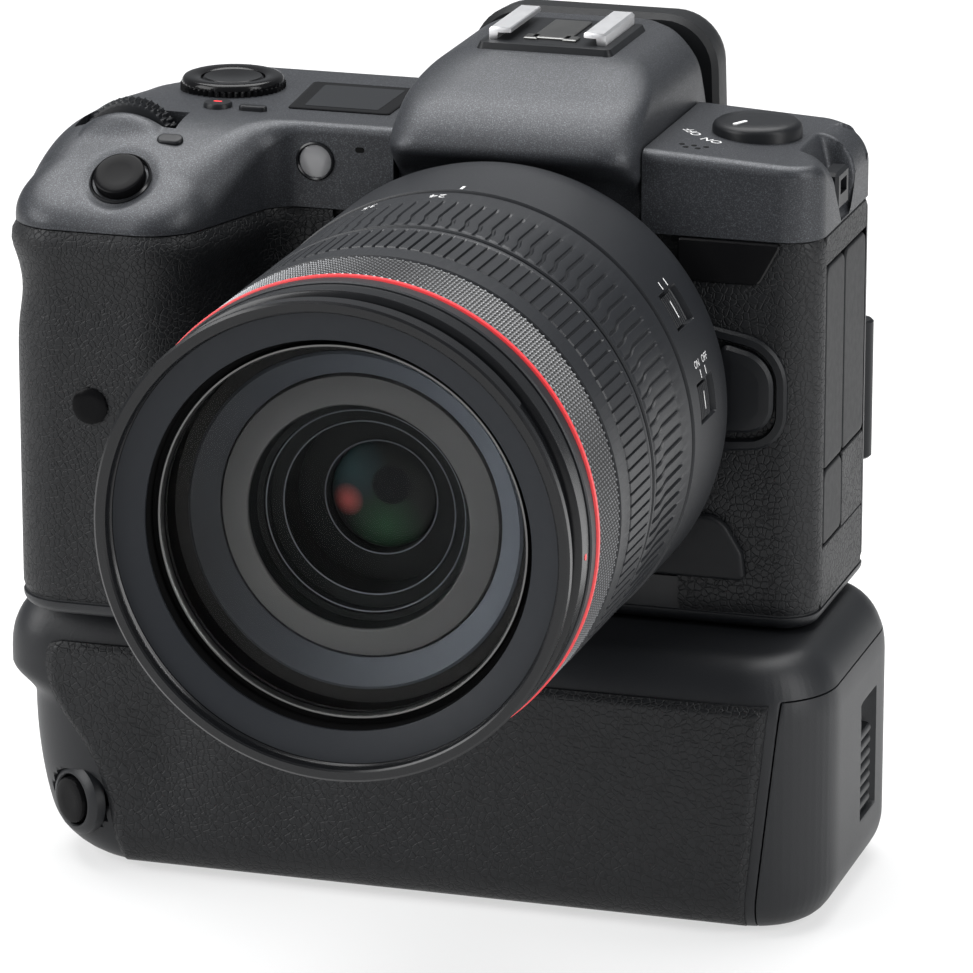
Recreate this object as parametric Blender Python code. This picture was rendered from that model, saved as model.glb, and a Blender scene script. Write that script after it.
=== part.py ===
"""Mirrorless camera with a standard zoom lens and a vertical battery grip.

Frame: X = 0 holds the lens axis, Y = 0 is the image plane, the lens points to -Y and Z = 0 is the surface
that the battery grip stands on. Values are millimetres until a mesh is made.
"""
import math

import bmesh
import bpy
from mathutils import Matrix, Vector

for old in list(bpy.data.objects):
    bpy.data.objects.remove(old, do_unlink=True)

MM = 0.001
GAP = 0.3  # clearance between neighbouring pieces
RING_SIDES = 36
CORNER_STEPS = 5

# Battery grip
GRIP_HEIGHT = 53.3
GRIP_LEFT = 92.5
GRIP_RIGHT = 61.0
GRIP_FRONT = 42.0
GRIP_BACK = 21.0
GRIP_CORNER = 15.0
GRIP_LEFT_CORNER = 9.0
GRIP_LEFT_STEP = 4.0
GRIP_STEP_Z = 35.0
GRIP_LOWER_ROUND = 6.0
GRIP_UPPER_ROUND = 7.0
PANEL_THICK = 1.0
PANEL_LEFT = 72.0
DOOR_SEAM_X = 50.0
BATTERY_SIZE = (56.5, 38.5, 20.8)
CHAMBER_FLOOR = 8.0
LOCK_SLOT = (4.5, 9.0, 22.0)
LOCK_TRAVEL = 6.0
WHEEL_RADIUS = 19.0
WHEEL_Y = 4.5
WHEEL_THICK = 7.0
WHEEL_BELOW_TOP = 8.0
CLAMP_SCREW_RADIUS = 3.0
CLAMP_SCREW_REACH = 3.0
TRIPOD_Y = -16.0
TRIPOD_BORE_RADIUS = 3.2
TRIPOD_BUSH_RADIUS = 7.0
TRIPOD_DEPTH = 5.5
VERTICAL_BUTTON_RADIUS = 6.0
VERTICAL_BUTTON_Z = 12.5
VERTICAL_DIAL_RADIUS = 9.0
VERTICAL_DIAL_THICK = 6.0

# Body
BODY_LEFT = 86.5
BODY_RIGHT = 54.5
BODY_FRONT = 22.0
BODY_BACK = 18.0
THUMB_BACK = 20.5
HAND_GRIP_FRONT = 50.5
HAND_GRIP_CORNER = 10.0
HAND_GRIP_INNER_CORNER = 11.0
HAND_GRIP_WIDTH = 32.5
VALLEY_X = -44.5
VALLEY_ROUND = 7.0
FRONT_CORNER = 7.0
REAR_CORNER = 3.0
THUMB_CORNER = 12.0
THUMB_REST_X = -37.5
THUMB_RAMP = 10.0
THUMB_ROUND = 1.5
AXIS_ABOVE_BODY_BASE = 40.7
BASE_ROUND = 5.0
BOTTOM_COVER_HEIGHT = 6.0
SEAM_ABOVE_AXIS = 28.0
DECK_ABOVE_AXIS = 43.5
DECK_ROUND = 9.0
LEFT_DECK_ABOVE_AXIS = 41.5
LEFT_DECK_ROUND = 10.0
LUG_RECESS = 4.0
SHELL_WALL = 2.0
REAR_WRAP_RIGHT = 3.1  # how far the rear cover runs forward round each side
REAR_WRAP_LEFT = 12.2
LEATHER_LEFT_Y = -15.0  # ends of the leathers on the two sides
LEATHER_RIGHT_Y = -14.8
LEATHER = 1.0
LEATHER_TAIL = 9.0  # leather beyond the valley, under the round cut
LEATHER_CUT_RADIUS = 36.5
PANEL_OVERLAP = 10.0
HUMP_HALF_WIDTH = 22.5
HUMP_TOP_ABOVE_AXIS = 55.2
HUMP_DRAW_IN = 9.3  # how much narrower the hump is at its top on each side
HUMP_SLOPE = 15.0
BROW_OVERLAP = 0.15
BROW_HEIGHT = 6.6
BROW_REACH = 7.2
FINDER_BACK = 26.0
PAD_TILT = math.radians(25.0)
SHUTTER_BUTTON_RADIUS = 4.2
SCREEN_SIZE = (84.0, 6.5, 54.0)
SCREEN_CENTRE_BELOW_AXIS = 9.5
SCREEN_RIGHT = 49.0
HINGE_BARREL_RADIUS = 2.9
HINGE_BARREL_HEIGHT = 26.0
SHOE_INNER_WIDTH = 18.7
SHOE_OUTER_WIDTH = 21.6
SHOE_LENGTH = 19.0
SHOE_CHANNEL = 1.7
SHOE_LIP = 2.6
SHOE_LIP_THICK = 0.8
SHOE_FLOOR = 0.5

# Lens
FLANGE_DISTANCE = 20.0
BARREL_RADIUS = 41.75
BARREL_TAPER = 11.8  # length of the cone between the barrel and the mount
RING_SET_IN = 0.45  # how far the turning rings and the rim lie inside the barrel's radius
RIM_SET_IN = 1.05
RIM_WALL = 2.4
RIM_EDGE = 0.5
HOOD_GROOVE_DEPTH = 4.0
HOOD_GROOVE_END = 6.8
HOOD_GROOVE = 1.6
RING_WALL = 3.1
RING_CHAMFER = 0.4
GUIDE_WALL = 1.3
SLIDE_WALL = 1.5
SLIDE_END_DEPTH = 60.0
COLLAR_LENGTH = 2.8
NAME_RING_DEPTH = 2.9
NAME_RING_WIDTH = 4.8
NAME_RING_DISH = 1.3
FILTER_SHELF_DEPTH = 6.5
CELL_WALL = 3.2
CELL_DEPTH = 7.0
CELL_END_DEPTH = 36.0
FRONT_GLASS_DEPTH = 9.6
FRONT_GLASS_END = 15.7
INNER_GLASS_RADIUS = 18.2
INNER_GLASS_DEPTH = 26.5
INNER_GLASS_END = 32.7
IRIS_RADIUS = 9.0
RED_RING_DEPTH = 14.7
CONTROL_RING_DEPTH = 15.7
FOCUS_RING_DEPTH = 28.2
ZOOM_RING_DEPTH = 48.5
FIXED_BARREL_DEPTH = 72.7
BARREL_END_DEPTH = 95.5
MOUNT_RADIUS = 30.7
MOUNT_BORE_RADIUS = 27.0
MOUNT_PLATE = 0.7
MOUNT_THROAT = 3.0  # wall of the lens's bayonet tube
MOUNT_THROAT_LENGTH = 4.6
SWITCH_SET_BACK = 8.3
SWITCH_SIZE = (6.0, 4.5, 2.4)
SWITCH_TRAVEL = 3.0
SWITCH_ANGLES = {"focus_mode_switch": 31.0, "stabilizer_switch": 8.0}

BODY_BASE = GRIP_HEIGHT + GAP
AXIS_Z = BODY_BASE + AXIS_ABOVE_BODY_BASE
SEAM_Z = AXIS_Z + SEAM_ABOVE_AXIS
DECK_Z = AXIS_Z + DECK_ABOVE_AXIS
LEFT_DECK_Z = AXIS_Z + LEFT_DECK_ABOVE_AXIS
HUMP_TOP_Z = AXIS_Z + HUMP_TOP_ABOVE_AXIS
WALL_OUT = LEATHER + GAP
LENS_LENGTH = BARREL_END_DEPTH + BARREL_TAPER
LENS_FRONT = FLANGE_DISTANCE + LENS_LENGTH
RING_RADIUS = BARREL_RADIUS - RING_SET_IN
RIM_RADIUS = BARREL_RADIUS - RIM_SET_IN
FILTER_RADIUS = RIM_RADIUS - RIM_WALL
GUIDE_RADIUS = RING_RADIUS - RING_WALL - GAP
GUIDE_INNER_RADIUS = GUIDE_RADIUS - GUIDE_WALL
FORWARD = (0, -1, 0)
BACKWARD = (0, 1, 0)
UP = (0, 0, 1)

FINISH = {
    "paint": ((0.028, 0.030, 0.034), 0.42, 0.3),
    "leather": ((0.012, 0.012, 0.013), 0.62, 0.0),
    "plastic": ((0.016, 0.016, 0.018), 0.5, 0.0),
    "rubber": ((0.010, 0.010, 0.011), 0.75, 0.0),
    "gloss": ((0.008, 0.008, 0.009), 0.12, 0.0),
    "steel": ((0.62, 0.62, 0.63), 0.28, 1.0),
    "knurl": ((0.30, 0.30, 0.31), 0.35, 0.9),
    "red": ((0.70, 0.03, 0.02), 0.35, 0.0),
    "slate": ((0.035, 0.040, 0.048), 0.55, 0.0),
    "glass": ((0.010, 0.014, 0.016), 0.03, 0.0),
    "lamp": ((0.22, 0.22, 0.23), 0.2, 0.0),
    "sensor": ((0.05, 0.09, 0.08), 0.15, 0.2),
}


def material(name, finish):
    colour, roughness, metallic = FINISH[finish]
    new = bpy.data.materials.new(name)
    new.use_nodes = True
    shader = new.node_tree.nodes["Principled BSDF"]
    shader.inputs["Base Color"].default_value = (*colour, 1.0)
    shader.inputs["Roughness"].default_value = roughness
    shader.inputs["Metallic"].default_value = metallic
    return new


def piece(name, shape, finish, at=(0, 0, 0), along=UP):
    """Make one object from a bmesh whose own +Z is turned to the direction given by along."""
    bmesh.ops.recalc_face_normals(shape, faces=shape.faces)
    bmesh.ops.scale(shape, vec=(MM, MM, MM), verts=shape.verts)
    mesh = bpy.data.meshes.new(name)
    shape.to_mesh(mesh)
    shape.free()
    made = bpy.data.objects.new(name, mesh)
    bpy.context.scene.collection.objects.link(made)
    made.location = Vector(at) * MM
    made.rotation_mode = "QUATERNION"
    made.rotation_quaternion = Vector(UP).rotation_difference(Vector(along).normalized())
    mesh.shade_smooth()
    mesh.set_sharp_from_angle(angle=math.radians(32))
    if finish:
        mesh.materials.append(material(name, finish))
    return made


def cut(target, name, shape, at=(0, 0, 0), along=UP):
    """Take a hidden cutter's volume away from a piece."""
    cutter = piece("cut_" + name, shape, None, at, along)
    cutter.hide_render = True
    cutter.display_type = "WIRE"
    step = target.modifiers.new(name, "BOOLEAN")
    step.operation = "DIFFERENCE"
    step.solver = "EXACT"
    step.object = cutter


def combine(target, name, shape, at=(0, 0, 0), along=UP):
    """Join a hidden helper's volume to a piece."""
    cut(target, name, shape, at, along)
    target.modifiers[name].operation = "UNION"


def turned(profile, sides=RING_SIDES):
    """Turn a closed (radius, height) outline about Z; points on the axis become poles."""
    shape = bmesh.new()
    rings = []
    for radius, height in profile:
        if radius == 0:
            rings.append([shape.verts.new((0, 0, height))])
        else:
            angles = [2 * math.pi * k / sides for k in range(sides)]
            around = [(radius * math.cos(a), radius * math.sin(a), height) for a in angles]
            rings.append([shape.verts.new(point) for point in around])
    for ring, following in zip(rings, rings[1:] + rings[:1]):
        for k in range(sides):
            corners = [ring[k % len(ring)], ring[(k + 1) % len(ring)]]
            corners += [following[(k + 1) % len(following)], following[k % len(following)]]
            distinct = list(dict.fromkeys(corners))
            if len(distinct) > 2:
                shape.faces.new(distinct)
    return shape


def disc(radius, low, high, edge=0.0, sides=RING_SIDES):
    """A round button or plug with a chamfer on its upper edge."""
    profile = [(0, low), (radius, low), (radius, high - edge)]
    if edge:
        profile.append((radius - edge, high))
    return turned(profile + [(0, high)], sides)


def tube(inner, outer, low, high):
    return turned([(inner, low), (outer, low), (outer, high), (inner, high)])


def loft(sections):
    """Skin closed outlines of equal length, each given with its height."""
    shape = bmesh.new()
    rings = [[shape.verts.new((x, y, z)) for x, y in outline] for outline, z in sections]
    count = len(rings[0])
    for lower, upper in zip(rings, rings[1:]):
        for k in range(count):
            following = (k + 1) % count
            shape.faces.new([lower[k], lower[following], upper[following], upper[k]])
    shape.faces.new(rings[0][::-1])
    shape.faces.new(rings[-1])
    return shape


def prism(outline, low, high):
    return loft([(outline, low), (outline, high)])


def inset(corners, distance):
    """Move every edge of a counter-clockwise outline of (x, y, radius) inward."""
    moved = []
    for k, (x, y, radius) in enumerate(corners):
        here = Vector((x, y))
        before = Vector(corners[k - 1][:2])
        after = Vector(corners[(k + 1) % len(corners)][:2])
        first = (here - before).normalized()
        second = (after - here).normalized()
        normal_sum = Vector((-first.y - second.y, first.x + second.x))
        moved_to = here + normal_sum * distance / (1 + first.dot(second))
        turn = first.x * second.y - first.y * second.x
        new_radius = radius - math.copysign(distance, turn) if radius else 0
        moved.append((moved_to.x, moved_to.y, max(new_radius, 0.4) if radius else 0))
    return moved


def rounded(corners, walked=None):
    """Outline points with each corner as an arc, for the corners that are walked."""
    points = []
    for k in walked or range(len(corners)):
        x, y, radius = corners[k]
        here = Vector((x, y))
        back = (Vector(corners[k - 1][:2]) - here).normalized()
        ahead = (Vector(corners[(k + 1) % len(corners)][:2]) - here).normalized()
        if radius == 0:
            points.append((x, y))
            continue
        half = back.angle(ahead) / 2
        reach = radius / math.tan(half)
        middle = here + (back + ahead).normalized() * radius / math.sin(half)
        start = here + back * reach - middle
        end = here + ahead * reach - middle
        sweep = start.angle_signed(end)
        for step in range(CORNER_STEPS + 1):
            turn = -sweep * step / CORNER_STEPS
            cosine, sine = math.cos(turn), math.sin(turn)
            points.append((middle.x + start.x * cosine - start.y * sine,
                           middle.y + start.x * sine + start.y * cosine))
    return points


def strip(corners, start, end, outer, inner):
    """A wall that follows an outline from one corner to another, between two insets."""
    walked = range(corners.index(start), corners.index(end) + 1)
    outside = rounded(inset(corners, outer), walked)
    inside = rounded(inset(corners, inner), walked)
    return outside + inside[::-1]


def rectangle(x0, x1, y0, y1, radius=0.0):
    return [(x1, y1, radius), (x0, y1, radius), (x0, y0, radius), (x1, y0, radius)]


def block(size, edge=0.0):
    """A box about its own centre, with bevelled edges."""
    shape = bmesh.new()
    bmesh.ops.create_cube(shape, size=1.0, matrix=Matrix.Diagonal((*size, 1)))
    if edge:
        bmesh.ops.bevel(shape, geom=shape.edges[:], offset=edge, segments=1, affect="EDGES")
    return shape


def sliced(shape, point, normal):
    """Keep the side of a solid that lies behind a plane, and close it."""
    geometry = shape.verts[:] + shape.edges[:] + shape.faces[:]
    bmesh.ops.bisect_plane(shape, geom=geometry, plane_co=point, plane_no=normal, clear_outer=True)
    bmesh.ops.holes_fill(shape, edges=[e for e in shape.edges if e.is_boundary])
    return shape


# Body outline, counter-clockwise seen from above, as (x, y, corner radius). Each list is the run of one
# cover or leather, so that radius 0 marks the ends of the pieces.
REAR_RUN = [
    (BODY_RIGHT, BODY_BACK - REAR_WRAP_RIGHT, 0),
    (BODY_RIGHT, BODY_BACK, REAR_CORNER),
    (THUMB_REST_X, BODY_BACK, THUMB_ROUND),
    (THUMB_REST_X - THUMB_RAMP, THUMB_BACK, REAR_CORNER),
    (-BODY_LEFT, THUMB_BACK, THUMB_CORNER),
    (-BODY_LEFT, THUMB_BACK - REAR_WRAP_LEFT, 0),
]
CARD_RUN = [(-BODY_LEFT, THUMB_BACK - REAR_WRAP_LEFT - GAP, 0)]
HAND_CORNERS = [
    (-BODY_LEFT, -HAND_GRIP_FRONT, HAND_GRIP_CORNER),
    (-BODY_LEFT + HAND_GRIP_WIDTH, -HAND_GRIP_FRONT, HAND_GRIP_INNER_CORNER),
    (VALLEY_X, -BODY_FRONT, VALLEY_ROUND),
]
HAND_RUN = [(-BODY_LEFT, LEATHER_LEFT_Y, 0)] + HAND_CORNERS + [(VALLEY_X + LEATHER_TAIL, -BODY_FRONT, 0)]
PANEL_RUN = [
    (LEATHER_CUT_RADIUS - PANEL_OVERLAP, -BODY_FRONT, 0),
    (BODY_RIGHT, -BODY_FRONT, FRONT_CORNER),
    (BODY_RIGHT, LEATHER_RIGHT_Y, 0),
]
PORT_RUN = [(BODY_RIGHT, BODY_BACK - REAR_WRAP_RIGHT - GAP, 0)]
BODY_OUTLINE = REAR_RUN + CARD_RUN + HAND_RUN + PANEL_RUN + PORT_RUN
BASE_OUTLINE = [corner for corner in BODY_OUTLINE if corner[2]]
SEAM_X = HUMP_HALF_WIDTH + GAP
TOP_INNER_X = DECK_ROUND + LEFT_DECK_ROUND - SEAM_X
TOP_OUTLINE = [(TOP_INNER_X, BODY_BACK, 0), (-BODY_LEFT, BODY_BACK, THUMB_CORNER)] + HAND_CORNERS
TOP_OUTLINE += [(TOP_INNER_X, -BODY_FRONT, 0)]
LEFT_TOP_OUTLINE = [
    (BODY_RIGHT, BODY_BACK, REAR_CORNER), (-TOP_INNER_X, BODY_BACK, 0),
    (-TOP_INNER_X, -BODY_FRONT, 0), (BODY_RIGHT, -BODY_FRONT, FRONT_CORNER)]
WALL_LOW = BODY_BASE + BOTTOM_COVER_HEIGHT + GAP
WALL_HIGH = SEAM_Z - GAP


def domed(corners, low, high, rounding, shrink=0.0):
    """A lofted block whose upper edge is rounded; shrink makes the matching hollow."""
    sections = [(rounded(inset(corners, shrink)), low)]
    for step in range(4):
        turn = math.pi / 2 * step / 3
        drop = rounding * (1 - math.sin(turn))
        draw_in = rounding * (1 - math.cos(turn))
        sections.append((rounded(inset(corners, shrink + draw_in)), high - shrink - drop))
    return loft(sections)


def lens_ring(name, finish, profile):
    """Turn a (radius, depth behind the lens front) outline about the lens axis."""
    heights = [(radius, LENS_FRONT - depth) for radius, depth in profile]
    return piece(name, turned(heights), finish, (0, 0, AXIS_Z), FORWARD)


def lens_band(name, finish, outer, near, far):
    """A ring on the guide tube, with its outer edges chamfered."""
    inner = GUIDE_RADIUS + GAP
    return lens_ring(name, finish, [
        (inner, near), (outer - RING_CHAMFER, near), (outer, near + RING_CHAMFER),
        (outer, far - RING_CHAMFER), (outer - RING_CHAMFER, far), (inner, far)])


def lens():
    collar = RED_RING_DEPTH - GAP - COLLAR_LENGTH
    slide_outer = GUIDE_INNER_RADIUS - GAP
    slide_inner = slide_outer - SLIDE_WALL
    groove = RIM_RADIUS - HOOD_GROOVE
    lens_ring("zoom_barrel", "plastic", [
        (FILTER_RADIUS, 0), (RIM_RADIUS - RIM_EDGE, 0), (RIM_RADIUS, RIM_EDGE),
        (RIM_RADIUS, HOOD_GROOVE_DEPTH - RIM_EDGE), (groove, HOOD_GROOVE_DEPTH), (groove, HOOD_GROOVE_END),
        (RIM_RADIUS, HOOD_GROOVE_END + RIM_EDGE), (RIM_RADIUS, collar - GAP), (slide_outer, collar - GAP),
        (slide_outer, SLIDE_END_DEPTH), (slide_inner, SLIDE_END_DEPTH), (slide_inner, FILTER_SHELF_DEPTH),
        (FILTER_RADIUS, FILTER_SHELF_DEPTH)])
    name_outer = FILTER_RADIUS - GAP
    name_inner = name_outer - NAME_RING_WIDTH
    name_back = FILTER_SHELF_DEPTH - GAP
    lens_ring("name_ring", "slate", [
        (name_outer, NAME_RING_DEPTH), (name_inner, NAME_RING_DEPTH + NAME_RING_DISH),
        (name_inner, name_back), (name_outer, name_back)])

    cell_outer = slide_inner - GAP
    glass_seat = cell_outer - CELL_WALL
    glass_radius = glass_seat - GAP
    throat = INNER_GLASS_RADIUS + GAP
    back_seat = INNER_GLASS_END + GAP
    lens_ring("inner_cell", "plastic", [
        (cell_outer, CELL_DEPTH), (glass_seat, CELL_DEPTH + 0.4), (glass_seat, FRONT_GLASS_END + GAP),
        (glass_seat - 4.8, FRONT_GLASS_END + 0.7), (glass_seat - 6.3, INNER_GLASS_DEPTH - 4.5),
        (throat, INNER_GLASS_DEPTH + 1.0), (throat, back_seat), (throat - 3.5, back_seat),
        (throat - 3.5, CELL_END_DEPTH), (cell_outer, CELL_END_DEPTH)])
    lens_ring("front_element", "glass", [
        (0, FRONT_GLASS_DEPTH), (0.33 * glass_radius, FRONT_GLASS_DEPTH + 0.3),
        (0.65 * glass_radius, FRONT_GLASS_DEPTH + 1.4), (0.87 * glass_radius, FRONT_GLASS_DEPTH + 2.9),
        (glass_radius, FRONT_GLASS_DEPTH + 4.4), (glass_radius, FRONT_GLASS_END), (0, FRONT_GLASS_END)])
    lens_ring("inner_element", "glass", [
        (0, INNER_GLASS_DEPTH), (0.44 * INNER_GLASS_RADIUS, INNER_GLASS_DEPTH + 0.5),
        (0.77 * INNER_GLASS_RADIUS, INNER_GLASS_DEPTH + 2.0), (INNER_GLASS_RADIUS, INNER_GLASS_DEPTH + 4.0),
        (INNER_GLASS_RADIUS, INNER_GLASS_END), (0, INNER_GLASS_END)])
    lens_ring("iris_unit", "plastic", [
        (IRIS_RADIUS, CELL_END_DEPTH + GAP), (cell_outer, CELL_END_DEPTH + GAP),
        (cell_outer, CELL_END_DEPTH + 5.0), (IRIS_RADIUS, CELL_END_DEPTH + 2.0)])

    trim_end = CONTROL_RING_DEPTH - GAP / 2
    lens_band("front_collar", "plastic", RIM_RADIUS, collar, RED_RING_DEPTH - GAP)
    lens_band("red_trim_ring", "red", RING_RADIUS, RED_RING_DEPTH, trim_end)
    lens_band("control_ring", "knurl", RING_RADIUS, trim_end + GAP, FOCUS_RING_DEPTH - GAP)
    lens_band("focus_ring", "rubber", RING_RADIUS, FOCUS_RING_DEPTH, ZOOM_RING_DEPTH - 3 * GAP)
    lens_band("zoom_ring", "rubber", RING_RADIUS, ZOOM_RING_DEPTH, FIXED_BARREL_DEPTH - GAP)

    plate_back = LENS_LENGTH - GAP
    plate_front = plate_back - MOUNT_PLATE
    barrel_back = plate_front - GAP
    barrel_bore = MOUNT_RADIUS - MOUNT_THROAT
    barrel = lens_ring("lens_fixed_barrel", "plastic", [
        (GUIDE_INNER_RADIUS, collar), (GUIDE_RADIUS, collar), (GUIDE_RADIUS, FIXED_BARREL_DEPTH),
        (BARREL_RADIUS, FIXED_BARREL_DEPTH), (BARREL_RADIUS, BARREL_END_DEPTH),
        (MOUNT_RADIUS + 2.0, barrel_back), (barrel_bore, barrel_back),
        (barrel_bore, barrel_back - MOUNT_THROAT), (GUIDE_INNER_RADIUS, BARREL_END_DEPTH)])
    plate_outer = MOUNT_RADIUS - GAP / 3
    throat_outer = MOUNT_BORE_RADIUS - GAP
    throat_inner = MOUNT_BORE_RADIUS - MOUNT_THROAT
    throat_end = plate_back + MOUNT_THROAT_LENGTH
    lens_ring("lens_mount_plate", "steel", [
        (throat_inner, plate_front), (plate_outer, plate_front), (plate_outer, plate_back),
        (throat_outer, plate_back), (throat_outer, throat_end), (throat_inner, throat_end)])

    width, length, sink = SWITCH_SIZE
    knob_y = FIXED_BARREL_DEPTH + SWITCH_SET_BACK - LENS_FRONT
    for name, degrees in SWITCH_ANGLES.items():
        angle = math.radians(degrees)
        outward = Vector((math.cos(angle), 0, math.sin(angle)))
        turn = Matrix.Rotation(math.pi / 2 - angle, 4, "Y").to_quaternion()
        at = Vector((0, knob_y, AXIS_Z)) + outward * (BARREL_RADIUS - sink / 2 + GAP)
        knob = piece(name, block((width, length, sink), GAP), "plastic", at)
        knob.rotation_quaternion = turn
        slot = block((width + 2 * GAP, length + SWITCH_TRAVEL + 3 * GAP, 2 * sink))
        slot_at = Vector((0, knob_y + (SWITCH_TRAVEL + GAP) / 2, AXIS_Z)) + outward * (BARREL_RADIUS + GAP)
        cut(barrel, name + "_slot", slot, slot_at)
        bpy.data.objects["cut_" + name + "_slot"].rotation_quaternion = turn


def mount_and_inside():
    shutter_depth = FLANGE_DISTANCE - 5.0
    ring = tube(MOUNT_BORE_RADIUS, MOUNT_RADIUS, shutter_depth, FLANGE_DISTANCE)
    piece("body_mount_ring", ring, "steel", (0, 0, AXIS_Z), FORWARD)
    unit_thick = shutter_depth - 2 * GAP
    unit = piece("shutter_unit", block((66, unit_thick, 50)), "plastic", (0, -unit_thick / 2 - GAP, AXIS_Z))
    cut(unit, "shutter_gate", block((38, 3 * unit_thick, 26)), (0, -unit_thick / 2, AXIS_Z))
    sensor_thick = 5.0
    piece("image_sensor", block((44, sensor_thick, 34)), "sensor", (0, sensor_thick / 2, AXIS_Z))


def lower_body():
    base = []
    for step in range(4):
        turn = math.pi / 2 * step / 3
        draw_in = BASE_ROUND * (1 - math.sin(turn))
        base.append((rounded(inset(BASE_OUTLINE, draw_in)), BODY_BASE + BASE_ROUND * (1 - math.cos(turn))))
    base.append((rounded(BASE_OUTLINE), BODY_BASE + BOTTOM_COVER_HEIGHT))
    bottom = piece("bottom_cover", loft(base), "leather")
    pocket = rounded(inset(BASE_OUTLINE, BASE_ROUND + 1))
    floor = BODY_BASE + CLAMP_SCREW_REACH + 1
    cut(bottom, "bottom_pocket", prism(pocket, floor, BODY_BASE + 2 * BOTTOM_COVER_HEIGHT))
    socket = disc(CLAMP_SCREW_RADIUS + GAP, -1, CLAMP_SCREW_REACH + 2)
    cut(bottom, "clamp_socket", socket, (0, WHEEL_Y, BODY_BASE))

    walls = strip(BODY_OUTLINE, CARD_RUN[0], PORT_RUN[-1], WALL_OUT, WALL_OUT + SHELL_WALL)
    front = piece("front_cover", prism(walls, WALL_LOW, WALL_HIGH), "plastic")
    mount_hole = disc(MOUNT_RADIUS + GAP, 0, 2 * BODY_FRONT)
    cut(front, "mount_hole", mount_hole, (0, 0, AXIS_Z), FORWARD)
    rear = strip(BODY_OUTLINE, REAR_RUN[0], REAR_RUN[-1], 0, SHELL_WALL)
    piece("rear_cover", prism(rear, WALL_LOW, WALL_HIGH), "plastic")

    hand = strip(BODY_OUTLINE, HAND_RUN[0], HAND_RUN[-1], 0, LEATHER)
    grip = piece("grip_leather", prism(hand, WALL_LOW, WALL_HIGH), "leather")
    side = strip(BODY_OUTLINE, PANEL_RUN[0], PANEL_RUN[-1], 0, LEATHER)
    panel = piece("side_leather", prism(side, WALL_LOW, WALL_HIGH), "leather")
    for target in (grip, panel):
        opening = disc(LEATHER_CUT_RADIUS, 0, 2 * BODY_FRONT)
        cut(target, target.name + "_round", opening, (0, 0, AXIS_Z), FORWARD)

    window_radius = 3.3
    window_at = (-70.0, -HAND_GRIP_FRONT + LEATHER / 2, AXIS_Z - 3.6)
    window = disc(window_radius, -LEATHER / 2, LEATHER / 2)
    piece("front_sensor_window", window, "gloss", window_at, FORWARD)
    cut(grip, "sensor_window_hole", disc(window_radius + GAP, -LEATHER * 2, LEATHER * 2), window_at, FORWARD)

    release = (10.0, 4.0, 15.0)
    release_at = (43.0, -BODY_FRONT + 0.5, AXIS_Z + 1.5)
    piece("lens_release_button", block(release, 0.8), "plastic", release_at)
    release_hole = (release[0] + 2 * GAP, 5 * release[1], release[2] + 2 * GAP)
    for target in (panel, front):
        cut(target, target.name + "_release", block(release_hole), release_at)

    flap_left, flap_right, flap_height, flap_thick = 30.5, 42.0, 7.1, 1.5
    flap_low = BOTTOM_COVER_HEIGHT + 2 * GAP - AXIS_ABOVE_BODY_BASE
    flap = rounded(rectangle(flap_left, flap_right, flap_low, flap_low + flap_height, 2.0))
    flap_at = (0, -BODY_FRONT - GAP, AXIS_Z)
    piece("remote_socket_cover", prism(flap, 0, flap_thick), "rubber", flap_at, FORWARD)

    door_thick = LEATHER + 0.1
    door_low, door_high = AXIS_Z - 29.0, AXIS_Z + 22.0
    port_middle = -1.0
    sync_top = AXIS_Z - 15.0
    port_front = LEATHER_RIGHT_Y + 2 * GAP
    port_back = BODY_BACK - REAR_WRAP_RIGHT - 2 * GAP
    card_back = THUMB_BACK - REAR_WRAP_LEFT - 2 * GAP
    ports = (
        ("port_cover_front", port_front, port_middle - GAP / 2, sync_top, door_high, BODY_RIGHT),
        ("sync_cover", port_front, port_middle - GAP / 2, door_low, sync_top - GAP, BODY_RIGHT),
        ("port_cover_rear", port_middle + GAP / 2, port_back, sync_top, door_high, BODY_RIGHT),
        ("card_door", LEATHER_LEFT_Y + 2 * GAP, card_back, door_low, door_high, -BODY_LEFT))
    for name, near, far, low, high, wall_x in ports:
        size = (door_thick, far - near, high - low)
        centre_x = wall_x - math.copysign(door_thick / 2, wall_x)
        piece(name, block(size, 0.2), "rubber", (centre_x, (near + far) / 2, (low + high) / 2))


def rear_controls():
    screen = SCREEN_SIZE
    lens_side = SCREEN_RIGHT - screen[0]
    middle = AXIS_Z - SCREEN_CENTRE_BELOW_AXIS
    outline = rounded(rectangle(lens_side, SCREEN_RIGHT, -screen[2] / 2, screen[2] / 2, 3.0))
    panel = piece("rear_screen", prism(outline, GAP, GAP + screen[1]), "plastic", (0, BODY_BACK, middle))
    panel.rotation_quaternion = Matrix.Rotation(math.radians(-90), 4, "X").to_quaternion()
    barrel_at = (SCREEN_RIGHT + HINGE_BARREL_RADIUS - GAP, BODY_BACK + GAP + HINGE_BARREL_RADIUS, middle)
    half = HINGE_BARREL_HEIGHT / 2
    barrel = disc(HINGE_BARREL_RADIUS, -half, half, sides=24)
    combine(panel, "screen_hinge", barrel, barrel_at)

    dial_at = (-62.0, THUMB_BACK + GAP, AXIS_Z - 14.0)
    dial = turned([(5.3, 0), (14, 0), (14, 2), (13, 2.6), (5.3, 2.0)])
    piece("quick_dial", dial, "plastic", dial_at, BACKWARD)


def pad_point(x, y):
    """A point on the sloping pad in front of the top deck."""
    pad_y, pad_z = -41.5, AXIS_Z + 36.0
    return Vector((x, y, pad_z + (y - pad_y) * math.tan(PAD_TILT)))


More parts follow.
